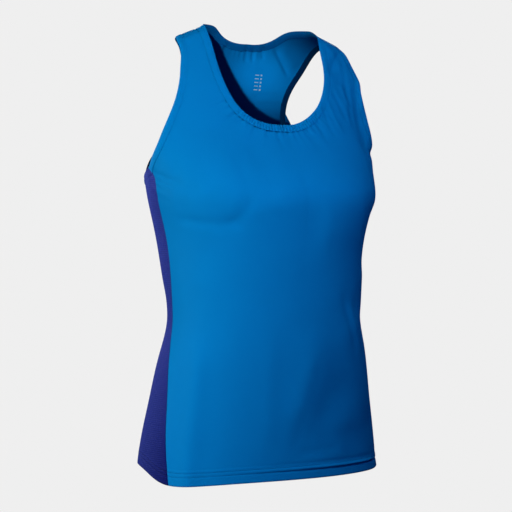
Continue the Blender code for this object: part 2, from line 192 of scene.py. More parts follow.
# The turned hem: its fold, the step over its inner layer's edge, and its stitched rows
HEM_DEPTH = 0.0200
HEM_FOLD_RADIUS = 0.0008
HEM_TURN_DROP = 1.7
HEM_TURN_RISE = 0.35
HEM_STEP = 0.0003
HEM_STEP_BELOW = 0.001
HEM_STEP_ABOVE = 0.0015
HEM_ROWS = (0.0120, 0.0172)
HEM_ROW_DEPTH = 0.00035
HEM_ROW_WIDTH = 0.0008

# The hem's crease, the roll and the hollow above it, and the angles where they come and go
Swell = namedtuple("Swell", "above height width")
CREASE = Swell(0.0, -0.0011, 0.0009)
ROLL = Swell(0.0028, 0.0021, 0.0014)
HOLLOW = Swell(0.0080, -0.0009, 0.0026)
CREASE_HEIGHT = 0.0113
CREASE_GROWS = (-38.0, 18.0)
CREASE_FADES = (84.0, 98.0)
ROLL_FADES = (34.0, 60.0)
ROLL_FADE = 0.85
HEM_FLARE = 0.0012

# Folds: soft troughs (negative) and ridges between two places on the form; some bow sideways
Fold = namedtuple("Fold", "angle_a tape_a angle_b tape_b width height bow", defaults=(0.0,))
MAIN_FOLDS = (
    Fold(38.0, 0.075, 60.0, 0.215, 0.010, -0.0030),
    Fold(43.0, 0.050, 66.0, 0.200, 0.007, 0.0016),
    Fold(30.0, 0.055, 36.0, 0.130, 0.009, -0.0014),
    Fold(-84.0, 0.235, -52.0, 0.262, 0.007, -0.0016),
    Fold(34.0, 0.400, 78.0, 0.452, 0.012, -0.0024),
    Fold(20.0, 0.470, 58.0, 0.408, 0.016, 0.0018),
    Fold(-6.0, 0.600, 34.0, 0.500, 0.020, -0.0030),
    Fold(18.0, 0.610, 64.0, 0.560, 0.018, -0.0024),
    Fold(150.0, 0.330, 112.0, 0.400, 0.013, -0.0026),
    Fold(-150.0, 0.345, -114.0, 0.420, 0.013, -0.0024),
    Fold(176.0, 0.395, 128.0, 0.425, 0.015, -0.0022),
    Fold(-170.0, 0.410, -130.0, 0.440, 0.015, -0.0020),
    Fold(160.0, 0.480, 146.0, 0.600, 0.020, -0.0026),
    Fold(-158.0, 0.470, -140.0, 0.590, 0.020, -0.0024),
)
CREASES = (
    # between the two sides of the bust, and below its right one
    Fold(-16.0, 0.172, -19.0, 0.286, 0.0180, -0.0034),
    Fold(-78.0, 0.291, -26.0, 0.301, 0.0052, -0.0015, 0.001),
    Fold(-44.0, 0.303, -25.5, 0.262, 0.0055, -0.0013, 0.006),
    Fold(-28.5, 0.290, -25.5, 0.190, 0.0080, -0.0014),
    Fold(-66.0, 0.300, -60.0, 0.195, 0.0060, -0.0007),
    Fold(2.0, 0.300, 48.0, 0.294, 0.0240, 0.0030),
    Fold(64.0, 0.262, 70.0, 0.372, 0.0220, -0.0030),
    # under the wearer's right arm
    Fold(-96.0, 0.2215, -64.0, 0.2480, 0.0026, -0.0010, 0.001),
    Fold(-96.0, 0.2290, -68.0, 0.2560, 0.0024, -0.0008, 0.001),
    Fold(-94.0, 0.2400, -72.0, 0.2620, 0.0026, -0.0006, 0.001),
    Fold(-94.0, 0.2560, -74.0, 0.2740, 0.0030, -0.0005),
    # straps
    Fold(-40.0, 0.012, -38.5, 0.060, 0.0040, 0.0006, 0.002),
    Fold(-25.0, 0.028, -36.0, 0.044, 0.0040, -0.0006, 0.002),
    Fold(42.0, 0.006, 25.0, 0.088, 0.0040, -0.0016, 0.002),
    Fold(27.0, 0.020, 32.5, 0.052, 0.0045, 0.0010),
    Fold(35.5, 0.050, 37.0, 0.100, 0.0050, 0.0013, 0.002),
    Fold(37.5, 0.028, 43.0, 0.172, 0.0042, -0.0020, 0.006),
    Fold(41.0, 0.080, 49.0, 0.170, 0.0070, -0.0012, 0.002),
    Fold(43.0, 0.066, 50.5, 0.142, 0.0032, 0.0017),
    Fold(58.0, 0.196, 104.0, 0.188, 0.0050, -0.0034),
    Fold(25.0, 0.104, 38.0, 0.158, 0.0030, -0.0010, 0.001),
    Fold(21.5, 0.118, 33.0, 0.176, 0.0028, 0.0010, 0.001),
    Fold(20.0, 0.130, 27.0, 0.182, 0.0026, -0.0011, 0.001),
    Fold(16.0, 0.142, 21.0, 0.192, 0.0026, -0.0009),
    Fold(30.0, 0.092, 42.0, 0.142, 0.0032, 0.0009, 0.001),
    # waist and belly
    Fold(26.0, 0.385, 40.0, 0.478, 0.0050, -0.0017, 0.002),
    Fold(33.0, 0.402, 48.0, 0.480, 0.0055, 0.0013, 0.003),
    Fold(-19.0, 0.440, -17.0, 0.610, 0.0100, 0.0012),
    Fold(-63.0, 0.440, -58.0, 0.700, 0.0100, 0.0034),
    Fold(6.0, 0.430, -2.0, 0.600, 0.0220, 0.0034),
    Fold(5.0, 0.466, -4.5, 0.566, 0.0105, 0.0013),
    Fold(10.5, 0.462, -8.0, 0.640, 0.0062, -0.0004, 0.002),
    Fold(-6.0, 0.606, 22.0, 0.597, 0.0050, -0.0009, 0.001),
    Fold(4.0, 0.588, 36.0, 0.579, 0.0080, -0.0008, 0.002),
    # back, below the neck band, where the inside shows
    Fold(169.5, 0.036, 160.0, 0.086, 0.0028, 0.0026, 0.001),
    Fold(166.0, 0.036, 158.0, 0.070, 0.0050, -0.0014, -0.002),
    Fold(-180.0, 0.037, 179.5, 0.068, 0.0028, 0.0015),
    Fold(178.0, 0.037, 177.0, 0.066, 0.0022, 0.0015),
    Fold(174.0, 0.037, 173.0, 0.062, 0.0022, 0.0014),
    Fold(-173.0, 0.036, -170.0, 0.066, 0.0028, 0.0014),
    Fold(177.0, 0.116, 160.0, 0.110, 0.0028, 0.0012, 0.001),
    Fold(177.0, 0.129, 158.0, 0.126, 0.0028, 0.0012, 0.002),
    Fold(176.0, 0.100, 162.0, 0.101, 0.0040, 0.0007),
)
FOLD_END = 0.25
WRAP_RISE = 0.030
WRAP_FADE = 0.010

# Gathers along the neck seam and puckers of its band, with how unevenly they are drawn
Gathering = namedtuple("Gathering", "seed pitch span width depth length")
FRONT_GATHERING = Gathering(3, 0.0085, 0.100, 0.0016, 0.0025, 0.019)
BACK_GATHERING = Gathering(5, 0.0075, 0.045, 0.0018, 0.0014, 0.012)
BAND_PUCKERING = Gathering(8, 0.0046, 0.075, 0.0007, 0.0030, 1.0)
GATHER_SHIFT = 0.28
GATHER_END_FADE = 0.6
GATHER_WIDTHS = (0.8, 1.3)
GATHER_DEPTHS = (0.5, 1.2)
GATHER_LENGTHS = (0.6, 1.5)
GATHER_SPREAD = 0.06
GATHER_FADE = 1.5
PUCKER_INSIDE = 0.4
PUCKER_EDGE = 0.15
PUCKER_EASE = 0.6

# Seams: the grooves beside them and the allowances that run on beneath
SEAM_GROOVE = 0.0003
SEAM_GROOVE_WIDTH = 0.0010
SIDE_SEAM_GROOVE_WIDTH = 0.0006
SIDE_SEAM_GROOVE_START = 0.008
SIDE_GROOVE = 0.0016
SIDE_GROOVE_WIDTH = 0.0014
SIDE_SPREAD = 0.3
ALLOWANCE = 0.0050
ALLOWANCE_STEPS = (1.0, 0.7, 0.45, 0.28, 0.14)
ALLOWANCE_DROP = 0.0008
SHOULDER_ALLOWANCE = (0.0012, 0.0030, 0.0048)
SHOULDER_ALLOWANCE_SHARE = 0.72
BAND_REACH_WITHIN = 0.0020
BAND_REACH_BEYOND = 0.0002

# The side panel's own turned edge across the underarm
UNDERARM_TURN = 0.009
UNDERARM_TURN_ENDS = (0.0085, 0.0095)
UNDERARM_TURN_RISE = 0.0003
UNDERARM_GROOVE = 0.0004
UNDERARM_GROOVE_WIDTH = 0.0006

# Grids: rows up the centre, the neck, the seam and the armhole, and columns
Rows = namedtuple("Rows", "centre neck seam armhole")
HEM_IN_ROWS = 10
HEM_OUT_ROWS = 28
HEM_OUT_TOP = 0.026
PANEL_ROWS = {"front": Rows(152, 152, 170, 134), "back": Rows(170, 84, 134, 120)}
PANEL_COLUMNS = 68
SIDE_COLUMNS = 30
NECK_EASE = 0.5
ROW_EASE = 1.35
NECK_BAND_ROWS = 230
ARMHOLE_BAND_ROWS = 150
LINE_POINTS = 420

# Section of a folded band, from the seam round the opening's edge and back
BAND_SECTION = 14
BAND_SECTION_EASE = 0.85
BAND_FOLD_SHARE = 0.14
BAND_INNER_CROWN = 0.2
BAND_SEAM_DROP = 0.00012
BAND_SEAM_SHARE = 0.85

# Stitches
STITCH_THICK = 0.00048
STITCH_SEGMENTS = 6
STITCH_RINGS = 4
STITCH_GAP = 0.08
HEM_STITCH = 0.0026
BAND_STITCH = 0.0024
COVER_WIDTH = 0.0014
COVER_PLACE = {"neck": 0.0098, "armhole": 0.0078}
SIDE_HEM_POINTS = 60
PANEL_HEM_POINTS = 400
BAND_LINE_POINTS = 700

# Steps and tolerances of the work on the form and the meshes
WELD = 0.00001
SMOOTH_ANGLE = 50.0
STEP_ANGLE = 0.05
STEP_TAPE = 0.0002
STEP_PART = 0.002
HALVINGS = 40
INSET_ROUNDS = 3
HEM_ROUNDS = 6
ARC_DEGREES = 94
ARC_REACH = 0.66
ARC_ROWS = 133


# ---------------------------------------------------------------- the form

def spline(places, values):
    """Return a smooth function through the values at the rising places."""
    x = np.array(places, float)
    y = np.array(values, float)
    step = np.diff(x)
    slope = np.diff(y) / step
    matrix = np.eye(len(x))
    right = np.zeros(len(x))
    for i in range(1, len(x) - 1):
        matrix[i, i - 1:i + 2] = step[i - 1], 2 * (step[i - 1] + step[i]), step[i]
        right[i] = 6 * (slope[i] - slope[i - 1])
    bend = np.linalg.solve(matrix, right)

    def value(place):
        place = np.asarray(place, float)
        i = np.clip(np.searchsorted(x, place) - 1, 0, len(step) - 1)
        after = place - x[i]
        before = x[i + 1] - place
        cubic = (bend[i] * before ** 3 + bend[i + 1] * after ** 3) / (6 * step[i])
        low = (y[i] / step[i] - bend[i] * step[i] / 6) * before
        high = (y[i + 1] / step[i] - bend[i + 1] * step[i] / 6) * after
        return cubic + low + high

    return value


def table_spline(rows, along, field):
    """Smooth function of one field of a table's rows along another."""
    return spline([getattr(row, along) for row in rows], [getattr(row, field) for row in rows])


def section_splines():
    """Splines over the tape of the half width, the side and the centre-line depth."""
    down = []
    for section in SECTIONS:
        down.append(math.sqrt((RIDGE_RADIUS - section.height) ** 2 - RIDGE_RADIUS ** 2))
    tape = [-value for value in down[:0:-1]] + down
    both = SECTIONS[:0:-1] + SECTIONS
    backs = [section.back for section in SECTIONS[:0:-1]]
    return (
        spline(tape, [section.half_width for section in both]),
        spline(tape, [section.side for section in both]),
        spline(tape, backs + [-section.front for section in SECTIONS]),
    )


HALF_WIDTH, SIDE_DEPTH, CENTRE_DEPTH = section_splines()


def form(angle, tape):
    """Places on the bare form, before folds."""
    angle, tape = np.broadcast_arrays(np.asarray(angle, float), np.asarray(tape, float))
    sign = np.where(angle < 0, -1.0, 1.0)
    past = np.abs(angle) > 90.0
    turn = np.radians(np.where(past, 180.0 - np.abs(angle), np.abs(angle)))
    tape = np.where(past, -tape, tape)
    across = np.sin(turn) ** (2 / SQUARENESS)
    depth = np.clip(np.cos(turn), 0.0, None) ** (2 / SQUARENESS)
    x = HALF_WIDTH(tape) * across
    from_side = 1 - np.exp(-(tape / SIDE_FADE) ** 2)
    y = SIDE_DEPTH(tape) * from_side * (1 - depth) + CENTRE_DEPTH(tape) * depth
    z = RIDGE_RADIUS - np.hypot(tape, RIDGE_RADIUS)
    level = np.where(sign > 0, SHOULDER_LEVEL_LEFT, SHOULDER_LEVEL_RIGHT)
    fall = SHOULDER_SLOPE * np.clip(x - level, 0.0, None) ** 2
    z = z - fall * np.exp(-(tape / SHOULDER_FADE) ** 2)
    away = ((x - CHEST_ACROSS) ** 2 + (z - CHEST_HEIGHT) ** 2) / CHEST_SPREAD ** 2
    y = y - np.where(tape > 0, CHEST_FULLNESS * depth * np.exp(-away / 2), 0.0)
    return np.stack([sign * x, y, z], axis=-1)


def from_middle(angle, side, face):
    """Turn an angle from the centre front into one from the panel's own middle, or back."""
    return angle if face == "front" else side * 180.0 - angle


def tangents(angle, tape):
    """Directions in which the form runs as the angle and the tape grow."""
    by_angle = form(angle + STEP_ANGLE, tape) - form(angle - STEP_ANGLE, tape)
    by_tape = form(angle, tape + STEP_TAPE) - form(angle, tape - STEP_TAPE)
    return by_angle / (2 * STEP_ANGLE), by_tape / (2 * STEP_TAPE)


def unit(vectors):
    return vectors / np.linalg.norm(vectors, axis=-1, keepdims=True)


def outward(angle, tape):
    by_angle, by_tape = tangents(angle, tape)
    return unit(np.cross(by_tape, by_angle))


def fold_height(points, folds, wrapped=False):
    """Sum of the folds' heights at places on the form; wrapped ones follow its curve."""
    total = np.zeros(points.shape[:-1])
    for fold in folds:
        start = form(fold.angle_a, fold.tape_a)
        end = form(fold.angle_b, fold.tape_b)
        line = end - start
        middle = outward((fold.angle_a + fold.angle_b) / 2, (fold.tape_a + fold.tape_b) / 2)
        sideways = unit(np.cross(line, middle))
        along = (points - start) @ line / (line @ line)
        bow = fold.bow * np.sin(np.pi * np.clip(along, 0.0, 1.0))
        off = points - start - along[..., None] * line - bow[..., None] * sideways
        away = (off ** 2).sum(-1)
        if wrapped:
            rise = off @ middle
            past = np.clip(np.abs(rise) - WRAP_RISE, 0.0, None) / WRAP_FADE
            away = away - rise ** 2 * np.exp(-past ** 2)
        away = np.sqrt(away) / fold.width
        ease = np.clip(np.minimum(along, 1 - along) / FOLD_END, 0.0, 1.0)
        total += fold.height * np.exp(-away ** 2 / 2) * ease ** 2 * (3 - 2 * ease)
    return total


def cloth(angle, tape, lift=0.0):
    """Places on the cloth, folds included, moved out by a lift."""
    bare = form(angle, tape)
    height = fold_height(bare, MAIN_FOLDS) + fold_height(bare, CREASES, wrapped=True) + lift
    return bare + outward(angle, tape) * height[..., None]


# ------------------------------------------------------- edges of the openings

def length_along(places):
    """Length along a line of places, from its first."""
    steps = np.linalg.norm(np.diff(places, axis=0), axis=1)
    return np.concatenate([[0], np.cumsum(steps)])


def path(rows):
    """Smooth path through (angle, tape) rows, as a function of its length from 0 to 1."""
    rows = np.array(rows, float)
    places = form(rows[:, 0], rows[:, 1])
    length = length_along(places)
    angle = spline(length / length[-1], rows[:, 0])
    tape = spline(length / length[-1], rows[:, 1])
    return lambda part: (angle(part), tape(part))


def zero_of(measure, low, high):
    """Place between low and high where a rising measure passes zero."""
    for _ in range(HALVINGS):
        middle = (low + high) / 2
        if measure(middle) < 0:
            low = middle
        else:
            high = middle
    return (low + high) / 2


def neck_path(side):
    """Finished neck edge on one side, from the centre front to the centre back."""
    column = "left" if side > 0 else "right"
    rows = [(side * getattr(edge, column), edge.tape) for edge in NECK_FRONT + NECK_BACK]
    ahead = (-rows[1][0], rows[1][1])
    behind = (-rows[-2][0], rows[-2][1])
    whole = path([ahead] + rows + [behind])
    first = zero_of(lambda part: side * whole(part)[0], 0.0, 0.5)
    last = zero_of(lambda part: -side * whole(part)[0], 0.5, 1.0)
    return lambda part: whole(first + (last - first) * part)


def armhole_path(side):
    """Finished armhole edge, from the front side seam over the shoulder to the back one."""
    column = "left" if side > 0 else "right"
    return path([(side * getattr(edge, column), edge.tape) for edge in ARMHOLE])


def inset(route, part, width, turn):
    """Places on the cloth at a width in from a route's edge, towards the panel."""
    part = np.asarray(part, float)
    angle, tape = route(part)
    start = form(angle, tape)
    ahead = form(*route(np.minimum(1.0, part + STEP_PART)))
    behind = form(*route(np.maximum(0.0, part - STEP_PART)))
    across = np.cross(unit(ahead - behind), outward(angle, tape))
    goal = start + across * (turn * np.asarray(width, float))[..., None]
    for _ in range(INSET_ROUNDS):
        by_angle, by_tape = tangents(angle, tape)
        miss = goal - form(angle, tape)
        aa = (by_angle * by_angle).sum(-1)
        at = (by_angle * by_tape).sum(-1)
        tt = (by_tape * by_tape).sum(-1)
        am = (by_angle * miss).sum(-1)
        tm = (by_tape * miss).sum(-1)
        spread = aa * tt - at * at
        angle = angle + (am * tt - tm * at) / spread
        tape = tape + (tm * aa - am * at) / spread
    return angle, tape


Opening = namedtuple("Opening", "route width turn shoulder")


def opening(kind, side):
    """Neck or armhole edge with its band's width and its part at the shoulder seam."""
    if kind == "neck":
        route, width, turn = neck_path(side), NECK_BAND_WIDTH, side
    else:
        route, width, turn = armhole_path(side), ARMHOLE_BAND_WIDTH, -side
    shoulder = zero_of(lambda part: -inset(route, part, width, turn)[1], 0.0, 1.0)
    return Opening(route, width, turn, shoulder)


OPENINGS = {(kind, side): opening(kind, side) for kind in ("neck", "armhole") for side in (1, -1)}
FRONT_SEAM = table_spline(SIDE_SEAMS, "tape", "front")
BACK_SEAM = table_spline(SIDE_SEAMS, "tape", "back")
SEAM_LAP = table_spline(SEAM_LAPS, "tape", "reach")
HEM_TAPE = table_spline(HEM, "angle", "tape")


# ------------------------------------------------------------- panels' places

def seam_angle(tape, face, outside):
    """Angle of a side seam's edge from the centre front; outside is 1 on the side panel."""
    angle = FRONT_SEAM(tape) if face == "front" else 180.0 - BACK_SEAM(tape)
    reach = np.linalg.norm(tangents(angle, tape)[0], axis=-1)
    shift = SEAM_GAP / 2 if outside else SEAM_LAP(tape)
    return angle + FACE_SIGN[face] * shift / reach


def seam_top(face):
    """Tape length at which a side seam meets the finished armhole edge."""
    return abs(ARMHOLE[0 if face == "front" else -1].tape)


def seam_hem(side, face):
    """Tape length at which a side seam meets the hem."""
    tape = HEM[0].tape
    for _ in range(HEM_ROUNDS):
        tape = float(HEM_TAPE(side * seam_angle(tape, face, False)))
    return tape


def hem_steps():
    """Heights above the hem's edge of the rows from the edge to above its stitching."""
    return np.linspace(0.0, HEM_OUT_TOP, HEM_OUT_ROWS + 1)


def up_from_hem(hem, top, count):
    """Tape lengths from the hem's edge up: rows by the stitching, then up to the top."""
    low = hem - hem_steps()
    part = 1 - (1 - np.linspace(0.0, 1.0, count + 1)[1:]) ** ROW_EASE
    return np.concatenate([low, low[-1] + (top - low[-1]) * part])


def eased(count, ease):
    """Parts from 0 to 1 that start close together, ease being the first step's share."""
    even = np.linspace(0.0, 1.0, count + 1)
    return even * (ease + (1 - ease) * even)


def bunched(count):
    """Parts from 0 to 1 that are close together at both ends."""
    even = np.linspace(0.0, 1.0, count + 1)
    return even - np.sin(2 * np.pi * even) / (4 * np.pi)


def opening_line(kind, side, face, count):
    """Places under the band's outer layer, from an opening's start up to the shoulder."""
    edge = OPENINGS[kind, side]
    start = 0.0 if face == "front" else 1.0
    ease = NECK_EASE if kind == "neck" else 1.0
    part = start + (edge.shoulder - start) * eased(count, ease)
    angle, tape = inset(edge.route, part, np.full(len(part), edge.width - TUCK), edge.turn)
    if kind == "neck":
        angle[0] = 0.0
    tape[-1] = FACE_SIGN[face] * SEAM_GAP / 2
    return angle, tape


def panel_places(side, face):
    """Angles and tape lengths of half a panel: rows up from the hem, columns outwards."""
    rows = PANEL_ROWS[face]
    sign = FACE_SIGN[face]
    neck_angle, neck_tape = opening_line("neck", side, face, rows.neck)
    arm_angle, arm_tape = opening_line("armhole", side, face, rows.armhole)
    middle = 0.0 if face == "front" else 180.0
    centre = up_from_hem(HEM_TAPE(middle), abs(neck_tape[0]), rows.centre)
    top = seam_top(face) + ARMHOLE_BAND_WIDTH - TUCK
    seam = up_from_hem(seam_hem(side, face), top, rows.seam)
    seam_turn = from_middle(side * seam_angle(seam, face, False), side, face)
    inner = np.array([
        np.concatenate([np.zeros(len(centre)), neck_angle[1:]]),
        np.concatenate([sign * centre, neck_tape[1:]]),
    ])
    outer = np.array([
        np.concatenate([seam_turn, arm_angle[1:]]),
        np.concatenate([sign * seam, arm_tape[1:]]),
    ])
    part = bunched(PANEL_COLUMNS)[None, :]
    angle = inner[0][:, None] * (1 - part) + outer[0][:, None] * part
    tape = inner[1][:, None] * (1 - part) + outer[1][:, None] * part
    fade = np.clip(1 - np.arange(len(inner[0])) / len(seam), 0.0, 1.0) ** 2
    round_body = from_middle(angle, side, face)
    straight = inner[1][0] + (outer[1][0] - inner[1][0]) * part
    tape = tape + fade[:, None] * (sign * HEM_TAPE(round_body) - straight)
    return angle, tape


def side_places(side):
    """Angles and tape lengths of a side panel: rows up from the hem, columns backwards."""
    rows = PANEL_ROWS["front"].seam
    top = {face: seam_top(face) for face in ("front", "back")}
    front = up_from_hem(seam_hem(side, "front"), top["front"], rows)
    back = up_from_hem(seam_hem(side, "back"), top["back"], rows)
    start = seam_angle(front, "front", True)[:, None]
    end = seam_angle(back, "back", True)[:, None]
    part = bunched(SIDE_COLUMNS)[None, :]
    angle = start + (end - start) * part
    tape = front[:, None] * (1 - part) + back[:, None] * part
    up = np.linspace(0.0, 1.0, len(front))[:, None]
    straight = front[0] + (back[0] - front[0]) * part
    tape = tape + (1 - up) ** 2 * (HEM_TAPE(side * angle) - straight)
    tape = tape + up ** 2 * UNDERARM_DIP * np.sin(np.pi * part)
    under = ALLOWANCE * np.array(ALLOWANCE_STEPS)[None, :]
    reach = np.linalg.norm(tangents(angle, tape)[0], axis=-1)
    before = angle[:, :1] - under / reach[:, :1]
    after = angle[:, -1:] + under[:, ::-1] / reach[:, -1:]
    angle = np.concatenate([before, angle, after], axis=1)
    tape = np.concatenate([tape[:, :1] + 0 * under, tape, tape[:, -1:] + 0 * under], axis=1)
    away = np.concatenate([-under, part * (1 - part) * SIDE_SPREAD, -under[:, ::-1]], axis=1)
    return side * angle, tape, away


# --------------------------------------------------------------- fine relief

def bump(distance, width):
    return np.exp(-(distance / width) ** 2 / 2)


def smooth(value, low, high):
    """0 below low, 1 above high, with an easy change between."""
    part = np.clip((value - low) / (high - low), 0.0, 1.0)
    return part ** 2 * (3 - 2 * part)


def hem_lift(height, round_body):
    """Lift near the hem: two stitched rows, and a rolled crease that grows to the left."""
    roll = smooth(round_body, *CREASE_GROWS) * (1 - smooth(round_body, *CREASE_FADES))
    lift = HEM_STEP * (1 - smooth(height, HEM_DEPTH - HEM_STEP_BELOW, HEM_DEPTH + HEM_STEP_ABOVE))
    for row in HEM_ROWS:
        lift = lift - HEM_ROW_DEPTH * (1 - roll) * bump(height - row, HEM_ROW_WIDTH)
    full = roll * (1 - ROLL_FADE * smooth(round_body, *ROLL_FADES))
    for swell, share in ((CREASE, roll), (ROLL, full), (HOLLOW, full)):
        away = height - CREASE_HEIGHT - swell.above
        lift = lift + swell.height * share * bump(away, swell.width)
    return lift + HEM_FLARE * roll * np.clip(1 - height / CREASE_HEIGHT, 0.0, 1.0)


def nearest_on(points, line):
    """Distance to the nearest place of a line, and that place's number."""
    tree = KDTree(len(line))
    for index, place in enumerate(line):
        tree.insert(place, index)
    tree.balance()
    found = [tree.find(point) for point in points.reshape(-1, 3)]
    distance = np.array([hit[2] for hit in found]).reshape(points.shape[:-1])
    number = np.array([hit[1] for hit in found]).reshape(points.shape[:-1])
    return distance, number


def line_along(kind, side, width):
    """Close places on the form along an opening, at a width in from its edge."""
    edge = OPENINGS[kind, side]
    part = np.linspace(0.0, 1.0, LINE_POINTS)
    return form(*inset(edge.route, part, np.full(len(part), width), edge.turn))


def neck_seam_line():
    """The neck seam all round, with its length from the centre front, left positive."""
    right, left = [line_along("neck", side, NECK_BAND_WIDTH) for side in (-1, 1)]
    line = np.concatenate([right[:0:-1], left])
    return line, np.concatenate([-length_along(right)[:0:-1], length_along(left)])


NECK_LINE, NECK_LENGTH = neck_seam_line()
GatherSet = namedtuple("GatherSet", "place width depth length")


def gathers(row):
    """Uneven gathers along a seam, to both sides of its middle."""
    draw = np.random.default_rng(row.seed)
    count = int(2 * row.span / row.pitch)
    shift = draw.uniform(-GATHER_SHIFT, GATHER_SHIFT, count)
    place = -row.span + row.pitch * (np.arange(count) + 0.5 + shift)
    fade = 1 - GATHER_END_FADE * np.abs(place) / row.span
    return GatherSet(
        place,
        row.width * draw.uniform(*GATHER_WIDTHS, count),
        row.depth * fade * draw.uniform(*GATHER_DEPTHS, count),
        row.length * draw.uniform(*GATHER_LENGTHS, count),
    )


def gather_lift(places, along, away):
    """Lift of a set of gathers at a length along their seam and a distance from it."""
    total = np.zeros(np.broadcast(along, away).shape)
    for place, width, depth, length in zip(*places):
        fade = np.exp(-(away / length) ** GATHER_FADE)
        total -= depth * bump(along - place, width + GATHER_SPREAD * away) * fade
    return total


FRONT_GATHERS = gathers(FRONT_GATHERING)
BACK_GATHERS = gathers(BACK_GATHERING)
BAND_PUCKERS = gathers(BAND_PUCKERING)


# ----------------------------------------------------------- making the cloth

def deselect():
    bpy.ops.object.select_all(action="DESELECT")


def activate(piece):
    deselect()
    piece.select_set(True)
    bpy.context.view_layer.objects.active = piece


def lay_cloth(name, points, weave, flip):
    """A flat grid of cloth laid at the points, with its weave's directions as its UV map."""
    rows, columns = points.shape[0] - 1, points.shape[1] - 1
    deselect()
    bpy.ops.mesh.primitive_grid_add(x_subdivisions=columns, y_subdivisions=rows, size=1)
    piece = bpy.context.object
    piece.name = piece.data.name = name
    mesh = piece.data
    flat = np.empty(len(mesh.vertices) * 3)
    mesh.vertices.foreach_get("co", flat)
    flat = flat.reshape(-1, 3) + 0.5
    column = np.rint(flat[:, 0] * columns).astype(int)
    row = np.rint(flat[:, 1] * rows).astype(int)
    mesh.vertices.foreach_set("co", points[row, column].ravel())
    corner = np.empty(len(mesh.loops), int)
    mesh.loops.foreach_get("vertex_index", corner)
    chart = mesh.uv_layers[0]
    chart.name = "weave"
    chart.uv.foreach_set("vector", weave[row[corner], column[corner]].ravel())
    if flip:
        mesh.flip_normals()
    mesh.update()
    return piece


def join(name, pieces):
    activate(pieces[0])
    for piece in pieces[1:]:
        piece.select_set(True)
    bpy.ops.object.join()
    whole = bpy.context.object
    whole.name = whole.data.name = name
    return whole


def weld(piece):
    """Close the seam where two edges of a piece meet."""
    activate(piece)
    bpy.ops.object.mode_set(mode="EDIT")
    bpy.ops.mesh.select_all(action="SELECT")
    bpy.ops.mesh.remove_doubles(threshold=WELD)
    bpy.ops.object.mode_set(mode="OBJECT")


def thicken(piece, wall, material, inside=None):
    """Give a piece its thickness, with its own material on the inside if there is one."""
    activate(piece)
    piece.data.materials.clear()
    piece.data.materials.append(material)
    if inside is not None:
        piece.data.materials.append(inside)
    shell = piece.modifiers.new("cloth", "SOLIDIFY")
    shell.thickness = wall
    shell.offset = 0.0
    shell.material_offset = 0 if inside is None else 1
    bpy.ops.object.modifier_apply(modifier=shell.name)
    bpy.ops.object.shade_smooth_by_angle(angle=math.radians(SMOOTH_ANGLE))


def row_lengths(points):
    """Length along each row of points, from its first column."""
    steps = np.linalg.norm(np.diff(points, axis=1), axis=-1)
    return np.concatenate([np.zeros((len(points), 1)), np.cumsum(steps, axis=1)], axis=1)


def arc_chart():
    """Length round the form from its centre line at each angle and tape length."""
    angle = np.linspace(0.0, ARC_DEGREES, ARC_DEGREES + 1)
    tape = np.linspace(-ARC_REACH, ARC_REACH, ARC_ROWS)
    places = form(angle[None, :], tape[:, None])
    return angle, tape, row_lengths(places)


ARC_ANGLE, ARC_TAPE, ARC_LENGTH = arc_chart()


def arc_length(angle, tape):
    """Length round the form from the centre line, left positive."""
    a = np.clip(np.abs(angle) / (ARC_ANGLE[1] - ARC_ANGLE[0]), 0, len(ARC_ANGLE) - 1.001)
    t = np.clip((tape - ARC_TAPE[0]) / (ARC_TAPE[1] - ARC_TAPE[0]), 0, len(ARC_TAPE) - 1.001)
    i, j = a.astype(int), t.astype(int)
    a, t = a - i, t - j
    low = ARC_LENGTH[j, i] * (1 - a) + ARC_LENGTH[j, i + 1] * a
    high = ARC_LENGTH[j + 1, i] * (1 - a) + ARC_LENGTH[j + 1, i + 1] * a
    return np.sign(angle) * (low * (1 - t) + high * t)


def turned_up(points, normals, weave):
    """Add the hem's inner layer, folded up behind the rows that lie above the edge."""
    heights = hem_steps()
    inner = []
    chart = []
    for part in np.linspace(1.0, 0.0, HEM_IN_ROWS + 1)[:-1]:
        height = part * HEM_DEPTH + (1 - part) * HEM_FOLD_RADIUS
        at = height / (heights[1] - heights[0])
        low = int(at)
        share = at - low
        place = points[low] * (1 - share) + points[low + 1] * share
        inner.append(place - normals[low] * 2 * HEM_FOLD_RADIUS)
        chart.append(weave[0] - [0.0, height])
    folded = points.copy()
    folded[0] = points[0] - normals[0] * HEM_FOLD_RADIUS
    behind = normals[0] * HEM_FOLD_RADIUS * HEM_TURN_DROP
    under = [points[0] - behind + (points[1] - points[0]) * HEM_TURN_RISE]
    chart.append(weave[0] - [0.0, HEM_FOLD_RADIUS / 2])
    points = np.concatenate([np.array(inner), np.array(under), folded])
    return points, np.concatenate([np.array(chart), weave])


def outside_neck_band(bare, side):
    """0 under the neck band and 1 beyond its seam."""
    away = nearest_on(bare, line_along("neck", side, 0.0))[0]
    within = NECK_BAND_WIDTH - BAND_REACH_WITHIN
    return smooth(away, within, NECK_BAND_WIDTH + BAND_REACH_BEYOND)


def with_shoulder_allowance(angle, tape, lift):
    """The back with the rows that run on under the front, clear of the bands."""
    middle = angle[-1].mean()
    rows = np.array(SHOULDER_ALLOWANCE)[:, None]
    narrow = middle + (angle[-1:] - middle) * SHOULDER_ALLOWANCE_SHARE
    return (
        np.concatenate([angle, narrow + 0 * rows]),
        np.concatenate([tape, rows + 0 * narrow]),
        np.concatenate([lift, -ALLOWANCE_DROP + 0 * rows + 0 * narrow]),
    )


